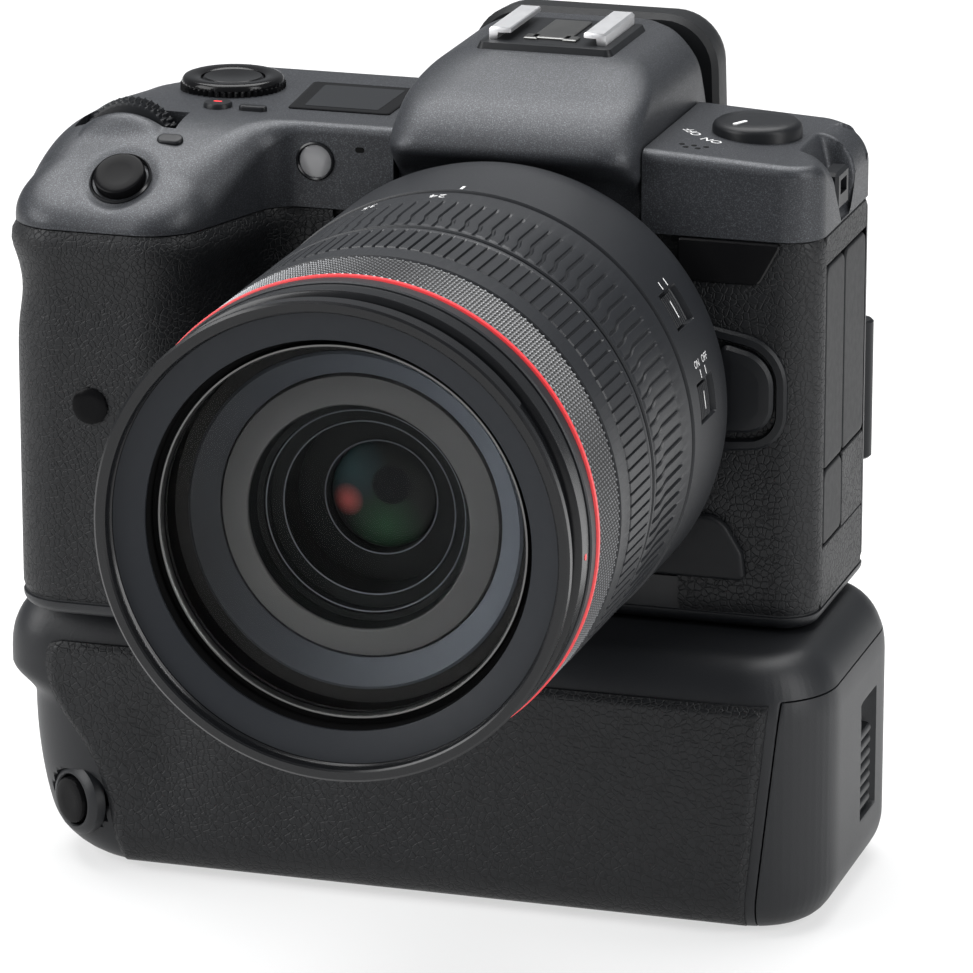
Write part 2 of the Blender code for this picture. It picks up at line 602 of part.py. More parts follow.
def top_covers():
    pad_normal = Vector((0, -math.sin(PAD_TILT), math.cos(PAD_TILT)))
    outside = domed(TOP_OUTLINE, SEAM_Z, DECK_Z, DECK_ROUND)
    sliced(outside, pad_point(0, -30), pad_normal)
    top = piece("top_cover", sliced(outside, (-SEAM_X, 0, 0), (1, 0, 0)), "paint")
    within = [(max(x, LUG_RECESS - BODY_LEFT), y, radius) for x, y, radius in TOP_OUTLINE]
    hollow = domed(within, SEAM_Z - 5, DECK_Z, DECK_ROUND, SHELL_WALL)
    sunk = pad_point(0, -30) - pad_normal * SHELL_WALL
    sliced(hollow, sunk, pad_normal)
    cut(top, "top_hollow", sliced(hollow, (-SEAM_X - SHELL_WALL, 0, 0), (1, 0, 0)))

    button_sink = 4.0
    shutter_at = pad_point(-67.0, -41.5)
    button = disc(SHUTTER_BUTTON_RADIUS, -button_sink, 1.6, 0.6, 32)
    piece("shutter_button", button, "gloss", shutter_at, pad_normal)
    hole = disc(SHUTTER_BUTTON_RADIUS + GAP, -2 * button_sink, button_sink, sides=32)
    cut(top, "shutter_hole", hole, shutter_at, pad_normal)
    function_at = pad_point(-61.5, -31.5)
    piece("function_button", disc(2.0, -button_sink, 1.2, 0.3, 20), "plastic", function_at, pad_normal)
    cut(top, "function_hole", disc(2.0 + GAP, -2 * button_sink, 3, sides=20), function_at, pad_normal)

    dial_radius, dial_width, dial_rise = 8.8, 5.0, 2.6
    dial_at = Vector((-71.0, -24.0, DECK_Z + dial_rise - dial_radius))
    dial = disc(dial_radius, -dial_width / 2, dial_width / 2, 0.5, 36)
    piece("main_dial", dial, "plastic", dial_at, BACKWARD)
    slot = disc(dial_radius + GAP, -dial_width / 2 - GAP, dial_width / 2 + GAP, sides=36)
    cut(top, "main_dial_slot", slot, dial_at, BACKWARD)

    for name, x, y in (("record_button", -58.0, -15.0), ("lamp_button", -51.0, -16.0)):
        at = (x, y, DECK_Z)
        piece(name, disc(2.2, -button_sink, 0.9, 0.3, 20), "plastic", at)
        cut(top, name + "_hole", disc(2.2 + GAP, -2 * button_sink, 3, sides=20), at)

    mode_at = (-60.5, 0.5, DECK_Z)
    mode_radius, centre_radius, dial_height = 9.6, 5.6, 3.4
    ring = turned([
        (centre_radius + GAP, GAP), (mode_radius, GAP), (mode_radius, dial_height - 1),
        (mode_radius - 1, dial_height), (centre_radius + GAP, dial_height)])
    piece("mode_dial", ring, "gloss", mode_at)
    piece("mode_button", disc(centre_radius, -button_sink, dial_height - 0.5, 0.4, 32), "gloss", mode_at)
    cut(top, "mode_hole", disc(centre_radius + GAP, -2 * button_sink, 3, sides=32), mode_at)

    display = [(-26.5, 8.0, 1.0), (-47.5, 8.0, 1.0), (-45.5, -13.0, 1.0), (-26.5, -13.0, 1.0)]
    display_thick = 1.0
    display_at = (0, 0, DECK_Z)
    piece("top_display", prism(rounded(display), -display_thick, 0.2), "glass", display_at)
    cut(top, "display_well", prism(rounded(inset(display, -GAP)), -display_thick - GAP, 3), display_at)

    lamp_at = (-37.3, -BODY_FRONT, AXIS_Z + 36.5)
    piece("focus_lamp_window", disc(3.2, -1.2, 0.3, 0.2, 28), "lamp", lamp_at, FORWARD)
    cut(top, "lamp_well", disc(3.2 + GAP, -1.2 - GAP, 3, sides=28), lamp_at, FORWARD)

    outside = domed(LEFT_TOP_OUTLINE, SEAM_Z, LEFT_DECK_Z, LEFT_DECK_ROUND)
    left = piece("left_top_cover", sliced(outside, (SEAM_X, 0, 0), (-1, 0, 0)), "paint")
    within = [(min(x, BODY_RIGHT - LUG_RECESS), y, radius) for x, y, radius in LEFT_TOP_OUTLINE]
    hollow = domed(within, SEAM_Z - 5, LEFT_DECK_Z, LEFT_DECK_ROUND, SHELL_WALL)
    cut(left, "left_hollow", sliced(hollow, (SEAM_X + SHELL_WALL, 0, 0), (-1, 0, 0)))
    switch_at = (38.0, -0.5, LEFT_DECK_Z)
    switch_radius, switch_height, switch_bevel = 8.0, 4.0, 1.3
    switch = turned([
        (0, GAP), (switch_radius, GAP), (switch_radius, switch_height - switch_bevel),
        (switch_radius - switch_bevel, switch_height), (0, switch_height)])
    piece("power_switch", switch, "gloss", switch_at)

    lug_size = (LUG_RECESS - 2 * GAP, 8.0, 7.0)
    lug_at = Vector((0, -2.0, AXIS_Z + 33.5))
    for name, wall_x, cover in (("strap_lug_left", BODY_RIGHT, left), ("strap_lug_right", -BODY_LEFT, top)):
        lug_at.x = wall_x - math.copysign(LUG_RECESS / 2, wall_x)
        recess = block((2 * LUG_RECESS, lug_size[1] + 4.0, lug_size[2] + 2.0))
        cut(cover, name + "_recess", recess, (wall_x, lug_at.y, lug_at.z))
        lug = piece(name, block(lug_size, 0.6), "steel", lug_at)
        eye = block((3 * lug_size[0], lug_size[1] - 3.6, lug_size[2] - 4.4))
        cut(lug, name + "_eye", eye, lug_at + Vector((0, 0, 0.6)))


def hump_section(height, front, half_width, radius, shrink=0.0):
    corners = rectangle(-half_width, half_width, -front, FINDER_BACK, radius)
    return rounded(inset(corners, shrink)), AXIS_Z + height


def finder():
    wall_front = BODY_FRONT - WALL_OUT
    brow = BARREL_RADIUS - BROW_OVERLAP
    rise = HUMP_TOP_ABOVE_AXIS - brow
    profile = (
        (SEAM_ABOVE_AXIS, wall_front, HUMP_HALF_WIDTH, 1.0),
        (brow - BROW_HEIGHT, wall_front, HUMP_HALF_WIDTH, 1.0),
        (brow - 0.45 * BROW_HEIGHT, BODY_FRONT + 0.49 * BROW_REACH, HUMP_HALF_WIDTH, 3.0),
        (brow, BODY_FRONT + BROW_REACH, HUMP_HALF_WIDTH, 5.0),
        (brow + 0.25 * rise, BODY_FRONT + 0.8 * BROW_REACH, HUMP_HALF_WIDTH, 6.0),
        (brow + 0.544 * rise, BODY_FRONT + 0.14 * BROW_REACH, HUMP_HALF_WIDTH - 0.25 * HUMP_DRAW_IN, 7.0),
        (brow + 0.824 * rise, BODY_FRONT - 0.5 * HUMP_SLOPE, HUMP_HALF_WIDTH - 0.65 * HUMP_DRAW_IN, 7.0),
        (HUMP_TOP_ABOVE_AXIS, BODY_FRONT - HUMP_SLOPE, HUMP_HALF_WIDTH - HUMP_DRAW_IN, 5.0))
    cover = piece("finder_cover", loft([hump_section(*row) for row in profile]), "paint")
    hollow = [hump_section(SEAM_ABOVE_AXIS - SHELL_WALL, wall_front, HUMP_HALF_WIDTH, 1.0, SHELL_WALL)]
    for height, front, half_width, radius in (profile[1], *profile[4:7]):
        inner_front = min(front, wall_front)
        hollow.append(hump_section(height - SHELL_WALL, inner_front, half_width, radius, SHELL_WALL))
    cut(cover, "finder_hollow", loft(hollow))
    cut(cover, "finder_mount_round", disc(MOUNT_RADIUS + GAP, 0, BODY_FRONT), (0, 0, AXIS_Z), FORWARD)

    shoe_z = HUMP_TOP_Z + GAP
    shoe_front, rim = -3.5, 2.4
    shoe_half = SHOE_OUTER_WIDTH / 2
    shoe_back = shoe_front + SHOE_LENGTH
    frame = rectangle(-shoe_half - rim, shoe_half + rim, shoe_front - rim, shoe_back + rim, 2.0)
    base = piece("shoe_base", prism(rounded(frame), 0, 1.0), "plastic", (0, 0, shoe_z))
    seat = rectangle(-shoe_half - GAP, shoe_half + GAP, shoe_front - GAP, shoe_back + GAP)
    cut(base, "shoe_seat", prism(rounded(seat), -2, 4), (0, 0, shoe_z))
    inner = SHOE_INNER_WIDTH / 2
    lip = inner - SHOE_LIP
    pad = lip - GAP
    floor, pad_top = SHOE_FLOOR, SHOE_FLOOR + 0.2
    ceiling = pad_top + SHOE_CHANNEL
    rails = [
        (shoe_half, 0), (shoe_half, ceiling + SHOE_LIP_THICK), (lip, ceiling + SHOE_LIP_THICK),
        (lip, ceiling), (inner, ceiling), (inner, floor), (pad, floor), (pad, pad_top)]
    rails += [(-x, z) for x, z in reversed(rails)]
    channel = piece("shoe_rails", prism(rails, -shoe_back, -shoe_front), "steel", (0, 0, shoe_z))
    channel.rotation_quaternion = Matrix.Rotation(math.radians(90), 4, "X").to_quaternion()

    eye_z = AXIS_Z + 39.5
    cup_depth = 11.0
    cup = rectangle(-24, 24, -13.5, 13.5, 11.0)
    cup_sections = [
        (rounded(inset(cup, 1.0)), 0), (rounded(cup), 0.6 * cup_depth), (rounded(inset(cup, 2.5)), cup_depth)]
    cup_at = (0, FINDER_BACK + GAP, eye_z)
    eyecup = piece("eyecup", loft(cup_sections), "rubber", cup_at, BACKWARD)
    eye_opening = rectangle(-17, 17, -9, 9, 5.0)
    cut(eyecup, "eye_opening", prism(rounded(eye_opening), -3, cup_depth + 3), cup_at, BACKWARD)
    eyepiece = rounded(inset(eye_opening, GAP))
    piece("eyepiece_lens", prism(eyepiece, 0, 2.0), "glass", cup_at, BACKWARD)


def grip_corners(left, left_corner):
    front = -GRIP_FRONT + PANEL_THICK + GAP
    return [(GRIP_RIGHT, GRIP_BACK, GRIP_CORNER), (-left, GRIP_BACK, GRIP_CORNER),
            (-left, front, left_corner), (GRIP_RIGHT, front, GRIP_CORNER)]


def grip_block():
    """The whole battery grip, with its left end set back below the step."""
    upper = grip_corners(GRIP_LEFT, GRIP_LEFT_CORNER)
    lower = grip_corners(GRIP_LEFT - GRIP_LEFT_STEP, GRIP_CORNER)
    sections = []
    for step in range(4):
        turn = math.pi / 2 * step / 3
        draw_in = GRIP_LOWER_ROUND * (1 - math.sin(turn))
        sections.append((rounded(inset(lower, draw_in)), GRIP_LOWER_ROUND * (1 - math.cos(turn))))
    sections.append((rounded(lower), GRIP_STEP_Z - GRIP_LEFT_STEP))
    for step in range(4):
        turn = math.pi / 2 * step / 3
        draw_in = GRIP_UPPER_ROUND * (1 - math.cos(turn))
        low = GRIP_STEP_Z if step == 0 else GRIP_HEIGHT - GRIP_UPPER_ROUND * (1 - math.sin(turn))
        sections.append((rounded(inset(upper, draw_in)), low))
    return loft(sections)


def battery_grip():
    case = piece("grip_case", sliced(grip_block(), (DOOR_SEAM_X, 0, 0), (1, 0, 0)), "plastic")
    door_shape = sliced(grip_block(), (DOOR_SEAM_X + GAP, 0, 0), (-1, 0, 0))
    door = piece("battery_door", door_shape, "plastic")
    scoop = disc(BARREL_RADIUS + 2 * GAP, BODY_FRONT, 2 * GRIP_FRONT)
    cut(case, "lens_scoop", scoop, (0, 0, AXIS_Z), FORWARD)
    length, width, height = BATTERY_SIZE
    tray = (2 * length, width, height)
    chamber = (tray[0] + 2 * GAP, width + 2 * GAP, height + 2 * GAP)
    battery_y = -8.0
    chamber_at = (DOOR_SEAM_X, battery_y, CHAMBER_FLOOR + chamber[2] / 2)
    cut(case, "battery_chamber", block((2 * chamber[0], chamber[1], chamber[2])), chamber_at)
    tray_at = (DOOR_SEAM_X - chamber[0] / 2, battery_y, CHAMBER_FLOOR + chamber[2] / 2)
    piece("battery_tray", block(tray, 1.0), "plastic", tray_at)

    slot_depth, slot_width, slot_height = LOCK_SLOT
    slot_at = (GRIP_RIGHT, -4.0, GRIP_HEIGHT / 2 - 3.0)
    cut(door, "lock_slot", block((2 * slot_depth, slot_width, slot_height)), slot_at)
    lock_height = slot_height - LOCK_TRAVEL - 2 * GAP
    lock_size = (slot_depth - GAP, slot_width - 2 * GAP, lock_height)
    lock_z = slot_at[2] - slot_height / 2 + GAP + lock_height / 2
    lock_at = (GRIP_RIGHT - slot_depth + GAP + lock_size[0] / 2, slot_at[1], lock_z)
    piece("door_lock", block(lock_size, 0.6), "plastic", lock_at)

    panel_low, panel_high = GRIP_LOWER_ROUND + 1, GRIP_HEIGHT - GRIP_UPPER_ROUND - 1
    panel_size = (DOOR_SEAM_X - 1.0 + PANEL_LEFT, PANEL_THICK, panel_high - panel_low)
    panel_x = (DOOR_SEAM_X - 1.0 - PANEL_LEFT) / 2
    panel_at = (panel_x, -GRIP_FRONT + PANEL_THICK / 2, (panel_low + panel_high) / 2)
    piece("grip_panel", block(panel_size, 0.3), "leather", panel_at)

    wheel_low = GRIP_HEIGHT - WHEEL_BELOW_TOP - WHEEL_THICK
    screw_top = WHEEL_THICK + WHEEL_BELOW_TOP + GAP + CLAMP_SCREW_REACH
    wheel = turned([
        (0, 0), (WHEEL_RADIUS, 0), (WHEEL_RADIUS, WHEEL_THICK), (CLAMP_SCREW_RADIUS, WHEEL_THICK),
        (CLAMP_SCREW_RADIUS, screw_top), (0, screw_top)])
    wheel_at = (0, WHEEL_Y, wheel_low)
    piece("clamp_wheel", wheel, "plastic", wheel_at)
    cut(case, "wheel_slot", disc(WHEEL_RADIUS + GAP, -GAP, WHEEL_THICK + GAP), wheel_at)
    cut(case, "screw_way", disc(CLAMP_SCREW_RADIUS + GAP, WHEEL_THICK, screw_top), wheel_at)

    bush_at = (0, TRIPOD_Y, 0)
    piece("tripod_bush", tube(TRIPOD_BORE_RADIUS, TRIPOD_BUSH_RADIUS, 0, TRIPOD_DEPTH), "steel", bush_at)
    cut(case, "bush_seat", disc(TRIPOD_BUSH_RADIUS + GAP, -3, TRIPOD_DEPTH + GAP), bush_at)

    outward = Vector((-0.35, -0.94, 0)).normalized()
    corner_x = GRIP_LEFT_STEP - GRIP_LEFT + GRIP_CORNER
    corner_y = GRIP_CORNER + PANEL_THICK + GAP - GRIP_FRONT
    button_at = Vector((corner_x, corner_y, VERTICAL_BUTTON_Z)) + outward * GRIP_CORNER
    button_sink = 4.0
    button = disc(VERTICAL_BUTTON_RADIUS, -button_sink, 0.8, 0.6, 32)
    piece("vertical_shutter_button", button, "gloss", button_at, outward)
    well = disc(VERTICAL_BUTTON_RADIUS + GAP, -button_sink - 2.0, 6, sides=32)
    cut(case, "vertical_button_well", well, button_at, outward)

    dial_at = (GRIP_LEFT_STEP - GRIP_LEFT + VERTICAL_DIAL_RADIUS - 1.5, -12.0, 20.0)
    half = VERTICAL_DIAL_THICK / 2
    piece("vertical_dial", disc(VERTICAL_DIAL_RADIUS, -half, half, 0.4, 36), "plastic", dial_at, BACKWARD)
    dial_slot = disc(VERTICAL_DIAL_RADIUS + GAP, -half - GAP, half + GAP, sides=36)
    cut(case, "vertical_dial_slot", dial_slot, dial_at, BACKWARD)


lens()
mount_and_inside()
lower_body()
rear_controls()
top_covers()
finder()
battery_grip()
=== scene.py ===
import math

import bmesh
import bpy
import numpy as np
from mathutils import Matrix, Vector


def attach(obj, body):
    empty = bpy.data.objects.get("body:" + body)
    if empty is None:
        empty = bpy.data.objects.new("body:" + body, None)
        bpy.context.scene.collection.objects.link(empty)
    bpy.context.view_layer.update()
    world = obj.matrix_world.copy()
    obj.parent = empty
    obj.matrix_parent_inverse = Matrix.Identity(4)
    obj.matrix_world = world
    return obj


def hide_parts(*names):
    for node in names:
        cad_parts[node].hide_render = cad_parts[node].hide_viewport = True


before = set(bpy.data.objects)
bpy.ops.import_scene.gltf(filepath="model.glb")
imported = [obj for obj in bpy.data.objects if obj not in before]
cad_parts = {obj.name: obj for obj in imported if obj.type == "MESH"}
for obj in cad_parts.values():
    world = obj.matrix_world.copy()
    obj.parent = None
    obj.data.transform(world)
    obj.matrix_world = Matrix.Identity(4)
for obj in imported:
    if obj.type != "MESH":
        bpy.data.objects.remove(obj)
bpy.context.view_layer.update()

# Studio: a pale sweep to stand on, a large soft lamp above, one at the left front and a strip at the right.
# The camera stands where the photographer stood, a metre off, to the right of the lens and above it.
bpy.context.scene.view_settings.view_transform = "Standard"


class Tone:
    """A shader socket. Arithmetic on it adds Math nodes to its material."""

    def __init__(self, tree, socket):
        self.tree = tree
        self.socket = socket

    def node(self, kind, settings=None, sockets=None, out=0):
        """Add a node: its settings first, then the values or links of its sockets."""
        made = self.tree.nodes.new("ShaderNode" + kind)
        for key, value in (settings or {}).items():
            setattr(made, key, value)
        for key, value in (sockets or {}).items():
            if isinstance(value, Tone):
                self.tree.links.new(value.socket, made.inputs[key])
            else:
                made.inputs[key].default_value = value
        return Tone(self.tree, made.outputs[out])

    def math(self, operation, *values):
        """A Math node on these values."""
        return self.node("Math", {"operation": operation}, dict(enumerate(values)))

    def mix(self, low, high):
        """A colour between two colours, by this value."""
        low, high = [(*colour, 1.0) if isinstance(colour, tuple) else colour for colour in (low, high)]
        return self.node("Mix", {"data_type": "RGBA"}, {0: self, 6: low, 7: high}, 2)

    def between(self, low, high, kind="LINEAR"):
        """This value spread from low..high to 0..1, clamped."""
        return self.node("MapRange", {"interpolation_type": kind},
                         {"Value": self, "From Min": low, "From Max": high})

    def __add__(self, other):
        return self.math("ADD", self, other)

    def __sub__(self, other):
        return self.math("SUBTRACT", self, other)

    def __rsub__(self, other):
        return self.math("SUBTRACT", other, self)

    def __mul__(self, other):
        return self.math("MULTIPLY", self, other)

    __radd__ = __add__
    __rmul__ = __mul__

    def noise(self, scale, detail=2.0, roughness=0.5):
        """Soft noise at this place; a larger scale gives a finer grain."""
        return self.node("TexNoise", {}, {"Vector": self, "Scale": scale, "Detail": detail,
                                          "Roughness": roughness})

    def cells(self, scale):
        """How far this place is from the nearest border between cells."""
        return self.node("TexVoronoi", {"feature": "DISTANCE_TO_EDGE"}, {"Vector": self, "Scale": scale})

    def bump(self, strength, reach):
        """A Normal from this value as a height; reach is the height of 1 in metres."""
        return self.node("Bump", {}, {"Height": self, "Strength": strength, "Distance": reach})


def finish(name, recipe):
    """A Principled material; recipe turns Object coordinates into the shader's inputs."""
    made = bpy.data.materials.new(name)
    made.use_nodes = True
    tree = made.node_tree
    shader = tree.nodes["Principled BSDF"]
    place = Tone(tree, tree.nodes.new("ShaderNodeTexCoord").outputs["Object"])
    for key, value in recipe(place).items():
        if isinstance(value, Tone):
            tree.links.new(value.socket, shader.inputs[key])
        elif isinstance(value, tuple):
            shader.inputs[key].default_value = (*value, 1.0)
        else:
            shader.inputs[key].default_value = value
    return made


floor_mesh = bpy.data.meshes.new("floor")
floor_mesh.from_pydata([(-4, -4, 0), (4, -4, 0), (4, 4, 0), (-4, 4, 0)], [], [(0, 1, 2, 3)])
floor = bpy.data.objects.new("floor", floor_mesh)
bpy.context.scene.collection.objects.link(floor)
floor_drop = 0.0003
floor.location.z = -floor_drop
sweep = bpy.data.materials.new("sweep")
sweep.use_nodes = True
sweep_tree = sweep.node_tree
path = sweep_tree.nodes.new("ShaderNodeLightPath")
seen = Tone(sweep_tree, path.outputs["Is Camera Ray"]) + Tone(sweep_tree, path.outputs["Is Glossy Ray"])
seen = seen + Tone(sweep_tree, path.outputs["Is Transmission Ray"])
glow = sweep_tree.nodes.new("ShaderNodeEmission")
glow.inputs["Color"].default_value = (1, 1, 1, 1)
sweep_tree.nodes["Principled BSDF"].inputs["Base Color"].default_value = (0.86, 0.86, 0.86, 1)
sweep_tree.nodes["Principled BSDF"].inputs["Roughness"].default_value = 0.9
glow_share = 0.6
blend = sweep_tree.nodes.new("ShaderNodeMixShader")
sweep_tree.links.new((seen * glow_share).socket, blend.inputs[0])
sweep_tree.links.new(sweep_tree.nodes["Principled BSDF"].outputs[0], blend.inputs[1])
sweep_tree.links.new(glow.outputs[0], blend.inputs[2])
sweep_tree.links.new(blend.outputs[0], sweep_tree.nodes["Material Output"].inputs["Surface"])
floor_mesh.materials.append(sweep)

world = bpy.data.worlds.new("studio")
world.use_nodes = True
world.node_tree.nodes["Background"].inputs["Color"].default_value = (0.93, 0.96, 1.0, 1)
world.node_tree.nodes["Background"].inputs["Strength"].default_value = 0.25
bpy.context.scene.world = world
lamp_aim = Vector((0, -0.03, 0.08))
for lamp_name, watts, size, spot in (
        ("soft_top", 32.0, (1.4, 1.0), (-0.15, 0.25, 1.25)),
        ("soft_left", 17.0, (0.9, 0.9), (-1.0, -0.75, 0.75)),
        ("strip_right", 9.0, (0.35, 1.1), (1.05, -0.35, 0.55))):
    bulb = bpy.data.lights.new(lamp_name, "AREA")
    bulb.shape = "RECTANGLE"
    bulb.size, bulb.size_y = size
    bulb.energy = watts
    lamp = bpy.data.objects.new(lamp_name, bulb)
    bpy.context.scene.collection.objects.link(lamp)
    lamp.location = spot
    lamp.rotation_mode = "QUATERNION"
    lamp.rotation_quaternion = (lamp_aim - Vector(spot)).to_track_quat("-Z", "Y")

azimuth, elevation = math.radians(17.07), math.radians(16.75)
back = Vector((math.sin(azimuth) * math.cos(elevation), -math.cos(azimuth) * math.cos(elevation),
               math.sin(elevation)))
right = Vector((math.cos(azimuth), math.sin(azimuth), 0))
up = back.cross(right)
aim_at, camera_far, aim_right, aim_down = Vector((0, -0.060, 0.0943)), 1.083, 0.00585, 0.00915
stand = aim_at + back * camera_far + right * aim_right - up * aim_down
camera = bpy.data.objects.new("camera", bpy.data.cameras.new("camera"))
bpy.context.scene.collection.objects.link(camera)
film_width, focal_pixels, photo_pixels = 36.0, 6300, 973
camera.data.sensor_width = film_width
camera.data.lens = film_width * focal_pixels / photo_pixels
camera.data.clip_start = 0.05
camera.matrix_world = Matrix((
    (right.x, up.x, back.x, stand.x), (right.y, up.y, back.y, stand.y),
    (right.z, up.z, back.z, stand.z), (0, 0, 0, 1)))
bpy.context.scene.camera = camera

# Battery grip case: a moulded shell under the body, smooth and satin, with a rounded top band, a full front
# and a left end that steps in under the hand. Glass-filled plastic with a fine spark texture. The batteries
# slide in through a mouth in its right end, which the door shuts.
MM, WELD, CREASE = 0.001, 2e-6, 38.0


def outline(corners, inset=0.0, steps=8):
    """Points round a counter-clockwise polygon of (x, y, radius). Each corner is an arc that touches both
    sides, and the whole outline is moved inward by inset."""
    corners = np.array(corners, float)
    spot, radius = corners[:, :2], corners[:, 2]
    ahead = np.roll(spot, -1, 0) - spot
    ahead /= np.linalg.norm(ahead, axis=1, keepdims=True)
    along = np.roll(ahead, 1, 0)
    normals = np.stack([-along[:, 1] - ahead[:, 1], along[:, 0] + ahead[:, 0]], 1)
    dot = (along * ahead).sum(1, keepdims=True)
    spot = spot + normals * inset / (1 + dot)
    turn = along[:, 0] * ahead[:, 1] - along[:, 1] * ahead[:, 0]
    radius = np.where(radius > 0, np.maximum(radius - np.sign(turn) * inset, 0.3), 0.0005)[:, None]
    half = np.arccos(np.clip(-dot, -1, 1)) / 2
    toward = ahead - along
    toward /= np.maximum(np.linalg.norm(toward, axis=1, keepdims=True), 1e-9)
    middle = spot + toward * radius / np.sin(half)
    start = spot - along * radius / np.tan(half) - middle
    end = spot + ahead * radius / np.tan(half) - middle
    first = np.arctan2(start[:, 1], start[:, 0])
    swing = np.arctan2(end[:, 1], end[:, 0]) - first
    swing = (swing + np.pi) % (2 * np.pi) - np.pi
    angle = first[:, None] + swing[:, None] * np.linspace(0, 1, steps + 1)
    arc = np.stack([np.cos(angle), np.sin(angle)], -1) * radius[:, :, None]
    return (middle[:, None] + arc).reshape(-1, 2)


def place(points, at=(0, 0, 0), along=(0, 0, 1), side=None):
    """Carry points whose own +Z is turned to along, and own +X to side, to a place."""
    normal = Vector(along).normalized()
    if side is None:
        turn = Vector((0, 0, 1)).rotation_difference(normal).to_matrix()
    else:
        x_axis = (Vector(side) - normal * Vector(side).dot(normal)).normalized()
        turn = Matrix((x_axis, normal.cross(x_axis), normal)).transposed()
    return np.asarray(points) @ np.array(turn).T + np.array(at)


def skin(name, grid, material, body, replaces=(), wrap=(False, True), sharp=CREASE):
    """Join a grid of points in millimetres into one closed mesh; wrap tells whether its rows and its columns
    run back to their start."""
    rows, columns = grid.shape[:2]
    index = np.arange(rows * columns).reshape(rows, columns)
    if wrap[0]:
        index = np.vstack([index, index[:1]])
    if wrap[1]:
        index = np.hstack([index, index[:, :1]])
    quads = np.stack([index[:-1, :-1], index[:-1, 1:], index[1:, 1:], index[1:, :-1]], -1).reshape(-1, 4)
    return shell(name, grid.reshape(-1, 3), quads, material, body, replaces, sharp)


def shell(name, points, faces, material, body, replaces=(), sharp=CREASE, flat=False):
    """A piece from points in millimetres and faces, riding on a body: poles merged, faces turned outward."""
    mesh = bpy.data.meshes.new(name)
    mesh.from_pydata((np.asarray(points) * MM).tolist(), [], np.asarray(faces).tolist())
    work = bmesh.new()
    work.from_mesh(mesh)
    bmesh.ops.remove_doubles(work, verts=work.verts, dist=WELD)
    bmesh.ops.recalc_face_normals(work, faces=work.faces)
    if all(edge.is_manifold for edge in work.edges) and work.calc_volume(signed=True) < 0:
        bmesh.ops.reverse_faces(work, faces=work.faces)
    work.to_mesh(mesh)
    work.free()
    if not flat:
        mesh.shade_smooth()
        mesh.set_sharp_from_angle(angle=math.radians(sharp))
    mesh.materials.append(material)
    made = bpy.data.objects.new(name, mesh)
    bpy.context.scene.collection.objects.link(made)
    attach(made, body)
    if replaces:
        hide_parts(*replaces)
    return made


def capped(rows):
    """Rows of a loft with a point in the middle of each end, so that the skin closes."""
    first, last = rows[0].mean(0), rows[-1].mean(0)
    return np.stack([np.broadcast_to(first, rows[0].shape), *rows, np.broadcast_to(last, rows[0].shape)])


def level(points, z):
    """Flat points lifted to one height."""
    return np.column_stack([points, np.full(len(points), z)])


def spark_plastic(at):
    """Near-black plastic: colour and roughness drift with a broad noise, and a fine noise is the bump."""
    grain = at.noise(2600, 3, 0.6)
    broad = at.noise(45, 2)
    return {"Base Color": broad.mix((0.0078, 0.0085, 0.0100), (0.0112, 0.0122, 0.0142)),
            "Specular IOR Level": 0.34, "Roughness": broad * 0.1 + 0.40, "Normal": grain.bump(0.3, 0.00010)}


grip_plastic = finish("grip_plastic", spark_plastic)
GRIP_TOP, GRIP_END, GRIP_START = 50.7, 61.0, -92.5
GRIP_BACK, GRIP_FRONT = 21.0, -40.7
DOOR_SEAM, BAND_LOW = 49.5, 43.6
FOOT_HEIGHT, FOOT_DRAW = 9.0, 7.2
BROW_HEIGHT, BROW_DRAW = 11.0, 8.0
HEEL_HEIGHT, HEEL_DRAW, HEEL_STEP = 30.0, 10.0, 2.6


def ease(value, low, high):
    """A smooth step from 0 at low to 1 at high."""
    share = np.clip((value - low) / (high - low), 0, 1)
    return share * share * (3 - 2 * share)


def within(value, low, high, soft):
    """A smooth window: 1 from low to high and 0 outside, with steps that reach soft to either side."""
    return ease(value, low - soft, low + soft) * ease(-value, -high - soft, soft - high)


def quarter(share):
    """How far a quarter circle has dropped, from 0 to 1, at a share of its run."""
    return 1 - np.sqrt(1 - share ** 2)


def grip_row(z):
    """One level of the grip: full in the middle, drawn in to the top and the base along quarter circles, and
    stepped in low at the left."""
    low = np.clip((FOOT_HEIGHT - z) / FOOT_HEIGHT, 0, 1)
    high = np.clip((z - (GRIP_TOP - BROW_HEIGHT)) / BROW_HEIGHT, 0, 1)
    heel = np.clip((HEEL_HEIGHT - z) / HEEL_HEIGHT, 0, 1)
    draw_in = FOOT_DRAW * quarter(low) + BROW_DRAW * quarter(high)
    step = HEEL_STEP * (1 - ease(z, HEEL_HEIGHT, HEEL_HEIGHT + 7.0))
    left = GRIP_START + step + HEEL_DRAW * quarter(heel)
    corner = 9.0 + 6.0 * step / HEEL_STEP
    row = [(GRIP_END, GRIP_BACK, 15), (left, GRIP_BACK, 15), (left, GRIP_FRONT, corner),
           (GRIP_END, GRIP_FRONT, 15)]
    return outline(row, draw_in, 14)


def resample(points, count, extra=()):
    """Spread points evenly along a closed outline, with extra places given as shares of its length."""
    loop = np.vstack([points, points[:1]])
    run = np.concatenate([[0], np.cumsum(np.linalg.norm(np.diff(loop, axis=0), axis=1))])
    share = np.unique(np.concatenate([np.arange(count) / count, extra])) * run[-1]
    return np.column_stack([np.interp(share, run, loop[:, k]) for k in range(loop.shape[1])])


